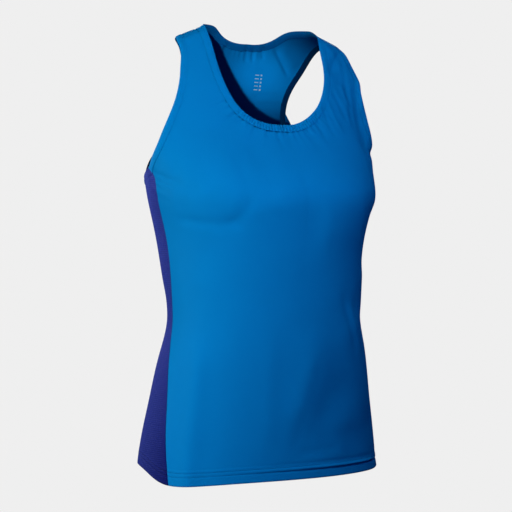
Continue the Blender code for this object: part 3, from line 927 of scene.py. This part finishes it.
def neck_lift(bare, side, face):
    """Lift by the neck seam: gathers below it, puckers under the band and its groove."""
    away, number = nearest_on(bare, NECK_LINE)
    along = NECK_LENGTH[number]
    outside = outside_neck_band(bare, side)
    if face == "front":
        lift = gather_lift(FRONT_GATHERS, along, away) * outside
        lift += gather_lift(BAND_PUCKERS, along, 0.0 * along) * (1 - outside)
    else:
        half = NECK_LENGTH[-1] if side > 0 else -NECK_LENGTH[0]
        from_back = side * (half - np.abs(along))
        lift = gather_lift(BACK_GATHERS, from_back, away) * outside
    return lift - SEAM_GROOVE * bump(away, SEAM_GROOVE_WIDTH)


def armhole_groove(bare, side):
    """Depth of the groove beside the armhole band's seam."""
    away = nearest_on(bare, line_along("armhole", side, ARMHOLE_BAND_WIDTH))[0]
    return SEAM_GROOVE * bump(away, SEAM_GROOVE_WIDTH)


def side_seam_groove(angle, tape, side, face):
    """Depth of the groove beside the side seam, which starts below the armhole."""
    down = np.abs(tape)
    top = seam_top(face)
    seam = from_middle(side * seam_angle(np.maximum(down, top), face, False), side, face)
    away = np.abs(seam - angle) * np.linalg.norm(tangents(angle, tape)[0], axis=-1)
    below = smooth(down, top, top + SIDE_SEAM_GROOVE_START)
    return SEAM_GROOVE * below * bump(away, SIDE_SEAM_GROOVE_WIDTH)


def half_panel(side, face):
    """Half of the front or back panel, laid on the form with its folds and gathers."""
    angle, tape = panel_places(side, face)
    bare = form(angle, tape)
    round_body = from_middle(angle, side, face)
    lift = hem_lift(HEM_TAPE(round_body) - np.abs(tape), round_body)
    lift = lift + neck_lift(bare, side, face)
    lift = lift - armhole_groove(bare, side) - side_seam_groove(angle, tape, side, face)
    if face == "back":
        angle, tape, lift = with_shoulder_allowance(angle, tape, lift)
    points = cloth(angle, tape, lift)
    weave = np.stack([arc_length(angle, tape), -np.abs(tape)], axis=-1)
    points, weave = turned_up(points, outward(angle, tape), weave)
    return lay_cloth(f"{face}_half", points, weave, flip=(side < 0) == (face == "front"))


def make_panel(face, material, inside):
    panel = join(f"{face}_panel_cloth", [half_panel(1, face), half_panel(-1, face)])
    weld(panel)
    thicken(panel, CLOTH, material, inside)
    return panel


def make_side_panel(side, name, material):
    angle, tape, away = side_places(side)
    height = HEM_TAPE(angle) - tape
    down = tape - tape[-1][None, :]
    turned = UNDERARM_TURN_RISE * (1 - smooth(down, *UNDERARM_TURN_ENDS))
    groove = UNDERARM_GROOVE * bump(down - UNDERARM_TURN, UNDERARM_GROOVE_WIDTH)
    lift = hem_lift(height, angle) + (turned - groove)
    lift = lift - SIDE_GROOVE * bump(away, SIDE_GROOVE_WIDTH) * (away >= 0)
    lift = lift - np.maximum(SIDE_GROOVE, ALLOWANCE_DROP) * (away < 0)
    points = cloth(angle, tape, lift)
    weave = np.stack([row_lengths(points), -tape], axis=-1)
    points, weave = turned_up(points, outward(angle, tape), weave)
    panel = lay_cloth(name, points, weave, flip=side < 0)
    thicken(panel, CLOTH, material)
    return panel


def band_section():
    """Across (0 at the opening edge, 1 at the seam) and height, round a folded band."""
    turn = np.linspace(0.0, 1.0, BAND_SECTION + 1)
    across = np.abs(2 * turn - 1) ** BAND_SECTION_EASE
    outer = turn < 0.5
    from_fold = np.clip(across / BAND_FOLD_SHARE, 0.0, 1.0)
    round_off = np.sqrt(np.clip(1 - (1 - from_fold) ** 2, 0.0, 1.0))
    height = np.where(outer, 1.0, -1.0) * BAND_HALF_DEPTH * round_off
    crown = np.where(outer, BAND_CROWN, BAND_INNER_CROWN * BAND_CROWN)
    height = height + crown * np.sin(np.pi * across)
    drop = np.where(outer, BAND_SEAM_DROP, 0.0)
    return across, height - drop * smooth(across, BAND_SEAM_SHARE, 1.0)


def band_weave(along, across, width):
    """Weave of a folded band: below zero on its chart outside and above zero inside."""
    outer = np.arange(len(across)) <= BAND_SECTION // 2
    wide = np.where(outer, -1.0, 1.0) * across
    return np.stack(np.broadcast_arrays(along[:, None], wide * width), axis=-1)


def lay_band(kind, side, part, stand_up):
    """Angles, tape lengths, lifts and shares across of a band at parts along its opening."""
    edge = OPENINGS[kind, side]
    across, height = band_section()
    edge_angle, edge_tape = edge.route(part)
    seam_turn, seam_tape = inset(edge.route, part, np.full(len(part), edge.width), edge.turn)
    angle = edge_angle[:, None] * (1 - across) + seam_turn[:, None] * across
    tape = edge_tape[:, None] * (1 - across) + seam_tape[:, None] * across
    lift = np.broadcast_to(height, angle.shape).copy()
    if stand_up:
        rise = STAND_UP * np.exp(-(edge_tape / STAND_UP_REACH) ** 2)
        lift += rise[:, None] * (1 - across) ** 3
    return angle, tape, lift, across


def make_neck_band(material):
    """Closed ring of folded band, puckered along the lower front."""
    strips = []
    for side in (1, -1):
        shoulder = OPENINGS["neck", side].shoulder
        front = shoulder * eased(NECK_BAND_ROWS, NECK_EASE)
        back = shoulder + (1 - shoulder) * np.linspace(0.0, 1.0, NECK_BAND_ROWS // 2 + 1)[1:]
        part = np.concatenate([front, back])
        angle, tape, lift, across = lay_band("neck", side, part, stand_up=True)
        angle[0] = angle[-1] = 0.0
        middle = form(angle[:, BAND_SECTION], tape[:, BAND_SECTION])
        along = side * length_along(middle)
        pucker = gather_lift(BAND_PUCKERS, along, np.zeros(len(along)))
        layer = np.where(np.arange(len(across)) <= BAND_SECTION // 2, 1.0, PUCKER_INSIDE)
        from_edge = np.clip(PUCKER_EDGE + (1 - PUCKER_EDGE) * across, 0, 1)
        lift += pucker[:, None] * layer * np.sin(np.pi * from_edge) ** PUCKER_EASE
        points = cloth(angle, tape, lift)
        weave = band_weave(along, across, NECK_BAND_WIDTH)
        strips.append(lay_cloth("band_half", points, weave, flip=side > 0))
    band = join("neck_band_cloth", strips)
    weld(band)
    thicken(band, BAND_CLOTH, material)
    return band


def make_armhole_band(side, name, material):
    part = np.linspace(0.0, 1.0, 2 * ARMHOLE_BAND_ROWS + 1)
    angle, tape, lift, across = lay_band("armhole", side, part, stand_up=False)
    for end, face in ((0, "front"), (-1, "back")):
        down = seam_top(face) + ARMHOLE_BAND_WIDTH * across
        angle[end] = from_middle(side * seam_angle(down, face, False), side, face)
        tape[end] = FACE_SIGN[face] * down
    points = cloth(angle, tape, lift)
    along = row_lengths(points[:, :1].transpose(1, 0, 2))[0]
    weave = band_weave(along, across, ARMHOLE_BAND_WIDTH)
    band = lay_cloth(name, points, weave, flip=side < 0)
    thicken(band, BAND_CLOTH, material)
    return band


# -------------------------------------------------------------------- stitches

def stitch_template():
    """One stitch: a short spindle of thread along X, a unit long and a unit thick."""
    deselect()
    bpy.ops.mesh.primitive_uv_sphere_add(
        segments=STITCH_SEGMENTS, ring_count=STITCH_RINGS, radius=0.5)
    thread = bpy.context.object
    activate(thread)
    bpy.ops.object.mode_set(mode="EDIT")
    bpy.ops.mesh.select_all(action="SELECT")
    bpy.ops.transform.rotate(value=math.pi / 2, orient_axis="Y", center_override=(0, 0, 0))
    bpy.ops.object.mode_set(mode="OBJECT")
    corners = np.array([list(vertex.co) for vertex in thread.data.vertices])
    faces = [list(face.vertices) for face in thread.data.polygons]
    bpy.data.objects.remove(thread, do_unlink=True)
    return corners, faces


STITCH_POINTS, STITCH_FACES = stitch_template()


def sew(name, start, end, normal, material):
    """Threads that run from start to end points on the cloth, joined as one mesh."""
    along = end - start
    length = np.linalg.norm(along, axis=-1, keepdims=True)
    along = along / length
    across = unit(np.cross(normal, along))
    up = np.cross(along, across)
    middle = (start + end) / 2
    local = STITCH_POINTS[None]
    points = (
        middle[:, None, :]
        + local[..., 0:1] * (along * length)[:, None, :]
        + local[..., 1:2] * (across * STITCH_THICK)[:, None, :]
        + local[..., 2:3] * (up * STITCH_THICK)[:, None, :]
    )
    faces = []
    for number in range(len(start)):
        first = number * len(STITCH_POINTS)
        faces += [[first + corner for corner in face] for face in STITCH_FACES]
    mesh = bpy.data.meshes.new(name)
    mesh.from_pydata(points.reshape(-1, 3).tolist(), [], faces)
    mesh.shade_smooth()
    mesh.materials.append(material)
    piece = bpy.data.objects.new(name, mesh)
    bpy.context.scene.collection.objects.link(piece)
    return piece


def even_places(points, pitch):
    """Fractional places along a line of points that lie a pitch apart."""
    length = length_along(points)
    count = int(length[-1] // pitch)
    return np.interp(np.linspace(0.0, length[-1], count + 1), length, np.arange(len(length)))


def at_places(rows, places):
    """Rows of numbers read at fractional places."""
    whole = np.arange(len(rows))
    return np.stack([np.interp(places, whole, column) for column in rows.T], axis=1)


def running_stitches(name, points, normals, pitch, material, zigzag=0.0):
    """A row of stitches on the points; a zigzag steps aside by its width at each end."""
    places = even_places(points, pitch)
    line = at_places(points, places)
    up = unit(at_places(normals, places))
    along = unit(np.gradient(line, axis=0))
    if zigzag:
        sign = np.where(np.arange(len(line)) % 2 == 0, 1.0, -1.0)[:, None]
        line = line + np.cross(up, along) * zigzag / 2 * sign
        start = line[:-1]
        end = line[1:]
    else:
        step = line[1:] - line[:-1]
        start = line[:-1] + step * STITCH_GAP
        end = line[1:] - step * STITCH_GAP
    return sew(name, start, end, up[:-1], material)


def hem_angles(face, side):
    """Angles along the hem of one panel, from its seam to its other seam."""
    if face == "side":
        ends = [float(seam_angle(seam_hem(side, other), other, True)) for other in FACE_SIGN]
        return side * np.linspace(*ends, SIDE_HEM_POINTS)
    ends = [from_middle(half * float(seam_angle(seam_hem(half, face), face, False)), half, face)
            for half in (1, -1)]
    return np.linspace(*ends, PANEL_HEM_POINTS)


def hem_stitches(name, face, side, material):
    """Both needle rows along the hem of one panel."""
    angle = hem_angles(face, side)
    round_body = angle
    if face == "back":
        round_body = from_middle(angle, np.where(angle >= 0, 1, -1), face)
    rows = []
    for height in HEM_ROWS:
        down = HEM_TAPE(round_body) - height
        tape = -down if face == "back" else down
        lift = hem_lift(np.full(len(angle), height), round_body) + CLOTH / 2 + STITCH_THICK / 4
        points = cloth(angle, tape, lift)
        normals = outward(angle, tape)
        rows.append(running_stitches(name, points, normals, HEM_STITCH, material))
    return join(name, rows)


def cover_stitches(name, kind, side, material):
    """Zigzag stitches on the inside of a band, near its seam."""
    part = np.linspace(0.0, 1.0, BAND_LINE_POINTS)
    edge = OPENINGS[kind, side]
    width = COVER_PLACE[kind]
    angle, tape = inset(edge.route, part, np.full(len(part), width), edge.turn)
    lift = np.full(len(part), -(BAND_HALF_DEPTH + BAND_CLOTH / 2 + STITCH_THICK / 4))
    if kind == "neck":
        rise = STAND_UP * np.exp(-(edge.route(part)[1] / STAND_UP_REACH) ** 2)
        lift = lift + rise * (1 - width / edge.width) ** 3
    points = cloth(angle, tape, lift)
    return running_stitches(name, points, -outward(angle, tape), BAND_STITCH, material, COVER_WIDTH)


# ------------------------------------------------------------------- materials

def new_group(name, inputs, outputs):
    """A shader node group that follows the weave, with named float inputs and outputs."""
    group = bpy.data.node_groups.new(name, "ShaderNodeTree")
    sockets = group.interface
    sockets.new_socket("Weave", in_out="INPUT", socket_type="NodeSocketVector")
    for label, value in inputs.items():
        socket = sockets.new_socket(label, in_out="INPUT", socket_type="NodeSocketFloat")
        socket.default_value = value
    for label in outputs:
        sockets.new_socket(label, in_out="OUTPUT", socket_type="NodeSocketFloat")
    return group, group.nodes.new("NodeGroupInput"), group.nodes.new("NodeGroupOutput")


def math_node(tree, operation, first, second=None, third=None):
    node = tree.nodes.new("ShaderNodeMath")
    node.operation = operation
    for place, value in enumerate((first, second, third)):
        if value is None:
            continue
        if isinstance(value, (int, float)):
            node.inputs[place].default_value = value
        else:
            tree.links.new(value, node.inputs[place])
    return node.outputs[0]


def weave_places(tree, weave):
    """Places across and up the weave."""
    split = tree.nodes.new("ShaderNodeSeparateXYZ")
    tree.links.new(weave, split.inputs[0])
    return split.outputs["X"], split.outputs["Y"]


def set_inputs(node, values):
    for label, value in values.items():
        node.inputs[label].default_value = value


def place_group(tree, group, chart, values=None):
    """A group's node in a material, which follows the weave and has its own values."""
    node = tree.nodes.new("ShaderNodeGroup")
    node.node_tree = group
    set_inputs(node, values or {})
    tree.links.new(chart.outputs["UV"], node.inputs["Weave"])
    return node


def wave(tree, place, pitch, shift=0.0):
    """A wave from 0 to 1 with the given pitch along a coordinate."""
    turns = math_node(tree, "DIVIDE", place, pitch)
    angle = math_node(tree, "MULTIPLY_ADD", turns, 2 * math.pi, shift)
    return math_node(tree, "MULTIPLY_ADD", math_node(tree, "SINE", angle), 0.5, 0.5)


def knit_group():
    """Loops of a knit: height, and a mask of the hollows between its loops, where shade is painted.
    """
    inputs = {"Wale Pitch": 0.001, "Course Pitch": 0.001, "Wale Share": 0.5}
    group, start, end = new_group("knit_loops", inputs, ("Height", "Between"))
    across, up = weave_places(group, start.outputs["Weave"])
    wales = wave(group, across, start.outputs["Wale Pitch"])
    shift = math_node(group, "MULTIPLY", wales, math.pi)
    courses = wave(group, up, start.outputs["Course Pitch"], shift)
    wale_part = math_node(group, "MULTIPLY", wales, start.outputs["Wale Share"])
    rest = math_node(group, "SUBTRACT", 1.0, start.outputs["Wale Share"])
    height = math_node(group, "MULTIPLY_ADD", courses, rest, wale_part)
    group.links.new(height, end.inputs["Height"])
    group.links.new(math_node(group, "SUBTRACT", 1.0, height), end.inputs["Between"])
    return group


def tone_group():
    """Uneven tone of dyed cloth: fine yarn grain, broad patches, and both together."""
    inputs = {"Grain Size": 0.0016, "Patch Size": 0.05, "Grain Share": 0.5}
    group, start, end = new_group("cloth_tone", inputs, ("Tone",))
    parts = []
    for label in ("Grain Size", "Patch Size"):
        noise = group.nodes.new("ShaderNodeTexNoise")
        noise.inputs["Detail"].default_value = NOISE_DETAIL
        group.links.new(start.outputs["Weave"], noise.inputs["Vector"])
        scale = math_node(group, "DIVIDE", 1.0, start.outputs[label])
        group.links.new(scale, noise.inputs["Scale"])
        parts.append(noise.outputs["Fac"])
    grain = math_node(group, "MULTIPLY", parts[0], start.outputs["Grain Share"])
    rest = math_node(group, "SUBTRACT", 1.0, start.outputs["Grain Share"])
    tone = math_node(group, "MULTIPLY_ADD", parts[1], rest, grain)
    group.links.new(tone, end.inputs["Tone"])
    return group


# A finish's between colour is painted shade in the hollows between the knit's loops and ribs
Finish = namedtuple(
    "Finish",
    "dark light between wale course wale_share depth roughness sheen sheen_tint specular",
)
AZURE = Finish(
    dark=(0.0004, 0.098, 0.290, 1.0),
    light=(0.0005, 0.124, 0.350, 1.0),
    between=(0.0003, 0.084, 0.262, 1.0),
    wale=0.00095, course=0.0008, wale_share=0.7, depth=0.00012,
    roughness=0.55, sheen=0.05, sheen_tint=(0.01, 0.45, 1.0, 1.0), specular=0.015,
)
VIOLET = Finish(
    dark=(0.0105, 0.0190, 0.170, 1.0),
    light=(0.0150, 0.0275, 0.235, 1.0),
    between=(0.0010, 0.0016, 0.022, 1.0),
    wale=0.0014, course=0.0026, wale_share=0.10, depth=0.00060,
    roughness=0.65, sheen=0.08, sheen_tint=(0.30, 0.45, 1.0, 1.0), specular=0.03,
)

# Sewing thread, of the same twist in both colours
TWIST = {"wale": 0.0006, "course": 0.0004, "wale_share": 0.5, "depth": 0.00004, "roughness": 0.45}
# Azure thread, far darker than the knit: partly the thread's own darker tone, partly painted shade
# round the stitches
AZURE_THREAD_AND_SHADE = Finish(
    dark=(0.0002, 0.022, 0.100, 1.0),
    light=(0.0003, 0.034, 0.140, 1.0),
    between=(0.0002, 0.016, 0.080, 1.0),
    sheen=0.05, sheen_tint=(0.01, 0.5, 1.0, 1.0), specular=0.10, **TWIST,
)
VIOLET_THREAD = Finish(
    dark=(0.004, 0.006, 0.055, 1.0),
    light=(0.007, 0.010, 0.085, 1.0),
    between=(0.003, 0.004, 0.045, 1.0),
    sheen=0.15, sheen_tint=(0.3, 0.4, 1.0, 1.0), specular=0.25, **TWIST,
)

# Insides of the bands, darker than the knit, which stand in for the deep shade there
NECK_BAND_PAINTED_SHADE = (0.0003, 0.052, 0.165, 1.0)
ARMHOLE_BAND_PAINTED_SHADE = (0.0002, 0.014, 0.052, 1.0)

# How the knit's loops, the shade painted into the hollows between them, and its tone make its
# surface
NOISE_DETAIL = 3.0
PAINTED_SHADE_POWER = 2.0
PAINTED_SHADE_SHARE = 0.6
ROUGHNESS_SPREAD = 0.16
RELIEF_STRENGTH = 0.5
SHEEN_ROUGHNESS = 0.45

# Plain print inside the back: bars with squares beside them, each a place, width and height
PRINT_TOP = 0.0804
PRINT_PITCH = 0.0053
PRINT_ROWS = 5
PrintMark = namedtuple("PrintMark", "across width height")
PRINT_MARKS = (PrintMark(0.0236, 0.0062, 0.0013), PrintMark(0.0305, 0.0026, 0.0024))
PRINT_COLOUR = (0.200, 0.290, 0.330, 1.0)
PRINT_COVER = 1.6

KNIT = knit_group()
TONE = tone_group()


def mix_colour(tree, share, first, second):
    """Mix two colours, each a value or a socket."""
    node = tree.nodes.new("ShaderNodeMix")
    node.data_type = "RGBA"
    tree.links.new(share, node.inputs["Factor"])
    for label, value in (("A", first), ("B", second)):
        socket = next(s for s in node.inputs if s.name == label and s.type == "RGBA")
        if isinstance(value, tuple):
            socket.default_value = value
        else:
            tree.links.new(value, socket)
    return next(s for s in node.outputs if s.type == "RGBA")


def print_group():
    """Mask of a small plain print: a column of short bars with squares beside them."""
    group, start, end = new_group("plain_print", {}, ("Mask",))
    across, up = weave_places(group, start.outputs["Weave"])
    first = -PRINT_TOP / PRINT_PITCH
    row = math_node(group, "MULTIPLY_ADD", up, -1.0 / PRINT_PITCH, first)
    within = math_node(group, "COMPARE", row, PRINT_ROWS / 2, PRINT_ROWS / 2)
    place = math_node(group, "FRACT", row)
    marks = []
    for mark in PRINT_MARKS:
        wide = math_node(group, "COMPARE", across, mark.across, mark.width / 2)
        high = math_node(group, "COMPARE", place, 0.5, mark.height / PRINT_PITCH / 2)
        marks.append(math_node(group, "MULTIPLY", wide, high))
    both = math_node(group, "MAXIMUM", marks[0], marks[1])
    group.links.new(math_node(group, "MULTIPLY", both, within), end.inputs["Mask"])
    return group


PRINT = print_group()


def knit_material(finish, name, printed=False, inside=None):
    """Knitted cloth or thread: tone, loops and a faint sheen, following the weave.

    A band's inside lies above zero on its chart, and may take a darker colour there, which is
    painted shade.
    """
    material = bpy.data.materials.new(name)
    material.use_nodes = True
    tree = material.node_tree
    shader = tree.nodes["Principled BSDF"]
    chart = tree.nodes.new("ShaderNodeUVMap")
    chart.uv_map = "weave"
    knit = place_group(tree, KNIT, chart, {
        "Wale Pitch": finish.wale,
        "Course Pitch": finish.course,
        "Wale Share": finish.wale_share,
    })
    tone = place_group(tree, TONE, chart)
    ground = mix_colour(tree, tone.outputs["Tone"], finish.dark, finish.light)
    # Painted shade: the hollows between the loops are darkened towards the finish's between colour
    between = math_node(tree, "POWER", knit.outputs["Between"], PAINTED_SHADE_POWER)
    share = math_node(tree, "MULTIPLY", between, PAINTED_SHADE_SHARE)
    colour = mix_colour(tree, share, ground, finish.between)
    # Painted shade: the band's folded-in half takes a darker colour for the deep shade inside the
    # neck and armhole
    if inside:
        up = weave_places(tree, chart.outputs["UV"])[1]
        painted_shade_side = math_node(tree, "GREATER_THAN", up, 0.0)
        colour = mix_colour(tree, painted_shade_side, colour, inside)
    if printed:
        mark = place_group(tree, PRINT, chart)
        ink = math_node(tree, "MULTIPLY", mark.outputs["Mask"], tone.outputs["Tone"])
        ink = math_node(tree, "MULTIPLY", ink, PRINT_COVER)
        colour = mix_colour(tree, ink, colour, PRINT_COLOUR)
    tree.links.new(colour, shader.inputs["Base Color"])
    smoothest = finish.roughness - ROUGHNESS_SPREAD / 2
    rough = math_node(tree, "MULTIPLY_ADD", tone.outputs["Tone"], ROUGHNESS_SPREAD, smoothest)
    tree.links.new(rough, shader.inputs["Roughness"])
    relief = tree.nodes.new("ShaderNodeBump")
    set_inputs(relief, {"Strength": RELIEF_STRENGTH, "Distance": finish.depth})
    tree.links.new(knit.outputs["Height"], relief.inputs["Height"])
    tree.links.new(relief.outputs["Normal"], shader.inputs["Normal"])
    set_inputs(shader, {
        "Sheen Weight": finish.sheen,
        "Sheen Roughness": SHEEN_ROUGHNESS,
        "Sheen Tint": finish.sheen_tint,
        "Specular IOR Level": finish.specular,
        "Specular Tint": finish.sheen_tint,
    })
    material.diffuse_color = finish.light
    return material


# ------------------------------------------------------------ camera and light

CAMERA_AZIMUTH = -30.0
CAMERA_DISTANCE = 2.35
CAMERA_TARGET = Vector((0.0, 0.0, -0.314))
CAMERA_LENS = 119.0
CAMERA_SENSOR = 36.0
CAMERA_SHIFT = 0.0012
BACKGROUND = (0.863, 0.863, 0.863, 1.0)
FLOOR_HEIGHT = -0.80
FLOOR_RADIUS = 9.0
FLOOR_SIDES = 96
Light = namedtuple("Light", "name azimuth elevation distance size power colour")
LIGHTS = (
    Light("key", -35.0, 35.0, 0.85, 0.5, 5.0, (1.0, 1.0, 0.72)),
    Light("low", -70.0, -15.0, 0.85, 0.5, 3.7, (1.0, 1.0, 0.92)),
    Light("ahead", 0.0, 35.0, 0.85, 0.5, 4.2, (0.63, 0.66, 1.0)),
    Light("fill", -35.0, -15.0, 0.85, 0.5, 1.0, (0.5, 0.5, 1.0)),
    Light("left", -110.0, 4.0, 1.3, 0.7, 12.4, (1.0, 1.0, 0.82)),
    Light("side", -112.0, 32.0, 0.85, 0.5, 8.4, (1.0, 1.0, 1.0)),
    Light("back", 150.0, 20.0, 1.9, 1.2, 34.0, (1.0, 1.0, 0.95)),
    Light("back_right", -150.0, 20.0, 1.9, 1.2, 26.0, (1.0, 1.0, 0.95)),
)
NECK_SPOT_FROM = (-38.8, -6.5)
NECK_SPOT_AIM = Vector((0.031, 0.040, -0.055))
NECK_SPOT_DISTANCE = 1.8
NECK_SPOT_ANGLE = 3.60
NECK_SPOT_POWER = 228.0
NECK_SPOT_BLEND = 0.18
NECK_SPOT_SOFTNESS = 0.04
AMBIENT = (0.010, 0.017, 0.080, 1.0)


def direction(azimuth, elevation):
    """Way out from the singlet, 0 being straight ahead of it and positive to its left."""
    turn = math.radians(azimuth)
    rise = math.radians(elevation)
    level = math.cos(rise)
    return Vector((math.sin(turn) * level, -math.cos(turn) * level, math.sin(rise)))


def add_facing(name, data, target, towards, distance):
    """Put a camera or a lamp at a distance from its target, facing it."""
    thing = bpy.data.objects.new(name, data)
    bpy.context.scene.collection.objects.link(thing)
    thing.location = target + towards * distance
    thing.rotation_euler = (-towards).to_track_quat("-Z", "Y").to_euler()
    return thing


def add_camera():
    lens = bpy.data.cameras.new("camera")
    lens.sensor_width = CAMERA_SENSOR
    lens.lens = CAMERA_LENS
    lens.shift_x = CAMERA_SHIFT
    towards = direction(CAMERA_AZIMUTH, 0.0)
    bpy.context.scene.camera = add_facing(
        "camera", lens, CAMERA_TARGET, towards, CAMERA_DISTANCE)


def add_lights():
    for light in LIGHTS:
        glow = bpy.data.lights.new(light.name, "AREA")
        glow.shape = "DISK"
        glow.size = light.size
        glow.energy = light.power
        glow.color = light.colour
        towards = direction(light.azimuth, light.elevation)
        lamp = add_facing(light.name, glow, CAMERA_TARGET, towards, light.distance)
        lamp.visible_camera = False


def add_neck_spot():
    """A narrow, soft-edged spot on the inside of the back, through the neck opening."""
    glow = bpy.data.lights.new("neck_spot", "SPOT")
    glow.energy = NECK_SPOT_POWER
    glow.spot_size = math.radians(NECK_SPOT_ANGLE)
    glow.spot_blend = NECK_SPOT_BLEND
    glow.shadow_soft_size = NECK_SPOT_SOFTNESS
    towards = direction(*NECK_SPOT_FROM)
    add_facing("neck_spot", glow, NECK_SPOT_AIM, towards, NECK_SPOT_DISTANCE)


def fall_on(lamp_name, pieces):
    """Let a light fall on the named pieces alone."""
    lit = bpy.data.collections.new(lamp_name + "_falls_on")
    for piece in pieces:
        lit.objects.link(piece)
    bpy.data.objects[lamp_name].light_linking.receiver_collection = lit


def add_world():
    """Pale studio walls as the camera sees them, with a dimmer light from all round."""
    world = bpy.data.worlds.new("studio")
    world.use_nodes = True
    tree = world.node_tree
    output = tree.nodes["World Output"]
    ambient = tree.nodes["Background"]
    ambient.inputs["Color"].default_value = AMBIENT
    walls = tree.nodes.new("ShaderNodeBackground")
    walls.inputs["Color"].default_value = BACKGROUND
    rays = tree.nodes.new("ShaderNodeLightPath")
    mix = tree.nodes.new("ShaderNodeMixShader")
    tree.links.new(rays.outputs["Is Camera Ray"], mix.inputs["Fac"])
    tree.links.new(ambient.outputs[0], mix.inputs[1])
    tree.links.new(walls.outputs[0], mix.inputs[2])
    tree.links.new(mix.outputs[0], output.inputs["Surface"])
    bpy.context.scene.world = world


def add_floor():
    bpy.ops.mesh.primitive_circle_add(
        vertices=FLOOR_SIDES, radius=FLOOR_RADIUS, fill_type="NGON", location=(0, 0, FLOOR_HEIGHT))
    floor = bpy.context.object
    floor.name = "studio_floor"
    material = bpy.data.materials.new("pale_floor")
    material.use_nodes = True
    set_inputs(material.node_tree.nodes["Principled BSDF"], {
        "Base Color": (0.0, 0.0, 0.0, 1.0),
        "Roughness": 1.0,
        "Specular IOR Level": 0.0,
        "Emission Color": BACKGROUND,
        "Emission Strength": 1.0,
    })
    floor.data.materials.append(material)
    floor.visible_diffuse = False
    floor.visible_glossy = False


# ------------------------------------------------------------------- the build

azure = knit_material(AZURE, "azure_interlock")
azure_inside = knit_material(AZURE, "azure_interlock_inside", printed=True)
violet = knit_material(VIOLET, "violet_micro_mesh")
# The bands' darker insides are painted shade
azure_neck_painted_shade = knit_material(AZURE, "azure_interlock_band", inside=NECK_BAND_PAINTED_SHADE)
azure_arm_painted_shade = knit_material(AZURE, "azure_interlock_arm_band", inside=ARMHOLE_BAND_PAINTED_SHADE)
azure_thread = knit_material(AZURE_THREAD_AND_SHADE, "azure_thread")
violet_thread = knit_material(VIOLET_THREAD, "violet_thread")

add_camera()
add_world()
add_lights()
add_neck_spot()
add_floor()

front = make_panel("front", azure, azure_inside)
back = make_panel("back", azure, azure_inside)
side_right = make_side_panel(-1, "side_panel_right_cloth", violet)
side_left = make_side_panel(1, "side_panel_left_cloth", violet)
# The neck band and the left armhole band carry painted shade on their insides
neck_band = make_neck_band(azure_neck_painted_shade)
armhole_right = make_armhole_band(-1, "armhole_band_right_cloth", azure)
armhole_left = make_armhole_band(1, "armhole_band_left_cloth", azure_arm_painted_shade)

Thread = namedtuple("Thread", "thing slot")
THREADS = (
    Thread(hem_stitches("hem_stitches_front", "front", 0, azure_thread), "azure_interlock"),
    Thread(hem_stitches("hem_stitches_back", "back", 0, azure_thread), "azure_interlock"),
    Thread(hem_stitches("hem_stitches_right", "side", -1, violet_thread), "violet_micro_mesh"),
    Thread(hem_stitches("hem_stitches_left", "side", 1, violet_thread), "violet_micro_mesh"),
    Thread(join("neck_cover_stitches", [
        cover_stitches("cover", "neck", side, azure_thread) for side in (1, -1)]),
        "azure_interlock"),
    Thread(cover_stitches("armhole_cover_stitches_right", "armhole", -1, azure_thread),
           "azure_interlock"),
    Thread(cover_stitches("armhole_cover_stitches_left", "armhole", 1, azure_thread),
           "azure_interlock"),
)
for thread in THREADS:
    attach(thread.thing, "root")

Piece = namedtuple("Piece", "thing node slot flat area")
PIECES = (
    Piece(front, "front_panel", "azure_interlock", (0.52, 0.67), 0.225),
    Piece(back, "back_panel", "azure_interlock", (0.42, 0.64), 0.185),
    Piece(side_right, "side_panel_right", "violet_micro_mesh", (0.10, 0.44), 0.031),
    Piece(side_left, "side_panel_left", "violet_micro_mesh", (0.10, 0.44), 0.031),
    Piece(neck_band, "neck_band", "azure_interlock", (0.65, 0.023), None),
    Piece(armhole_right, "armhole_band_right", "azure_interlock", (0.49, 0.019), None),
    Piece(armhole_left, "armhole_band_left", "azure_interlock", (0.49, 0.019), None),
)

# What each lamp falls on
CLOTHS = [piece.thing for piece in PIECES + THREADS]
for lamp in ("ahead", "fill"):
    fall_on(lamp, [thing for thing in CLOTHS if thing != back])
for lamp in ("key", "low", "left"):
    fall_on(lamp, [thing for thing in CLOTHS if thing not in (back, side_right)])
fall_on("side", [side_right])
fall_on("back_right", [back, side_right, armhole_right, neck_band])
fall_on("neck_spot", [back])

for piece in PIECES:
    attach(piece.thing, "root")
    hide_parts(piece.node)

bpy.context.scene.view_settings.view_transform = "Standard"
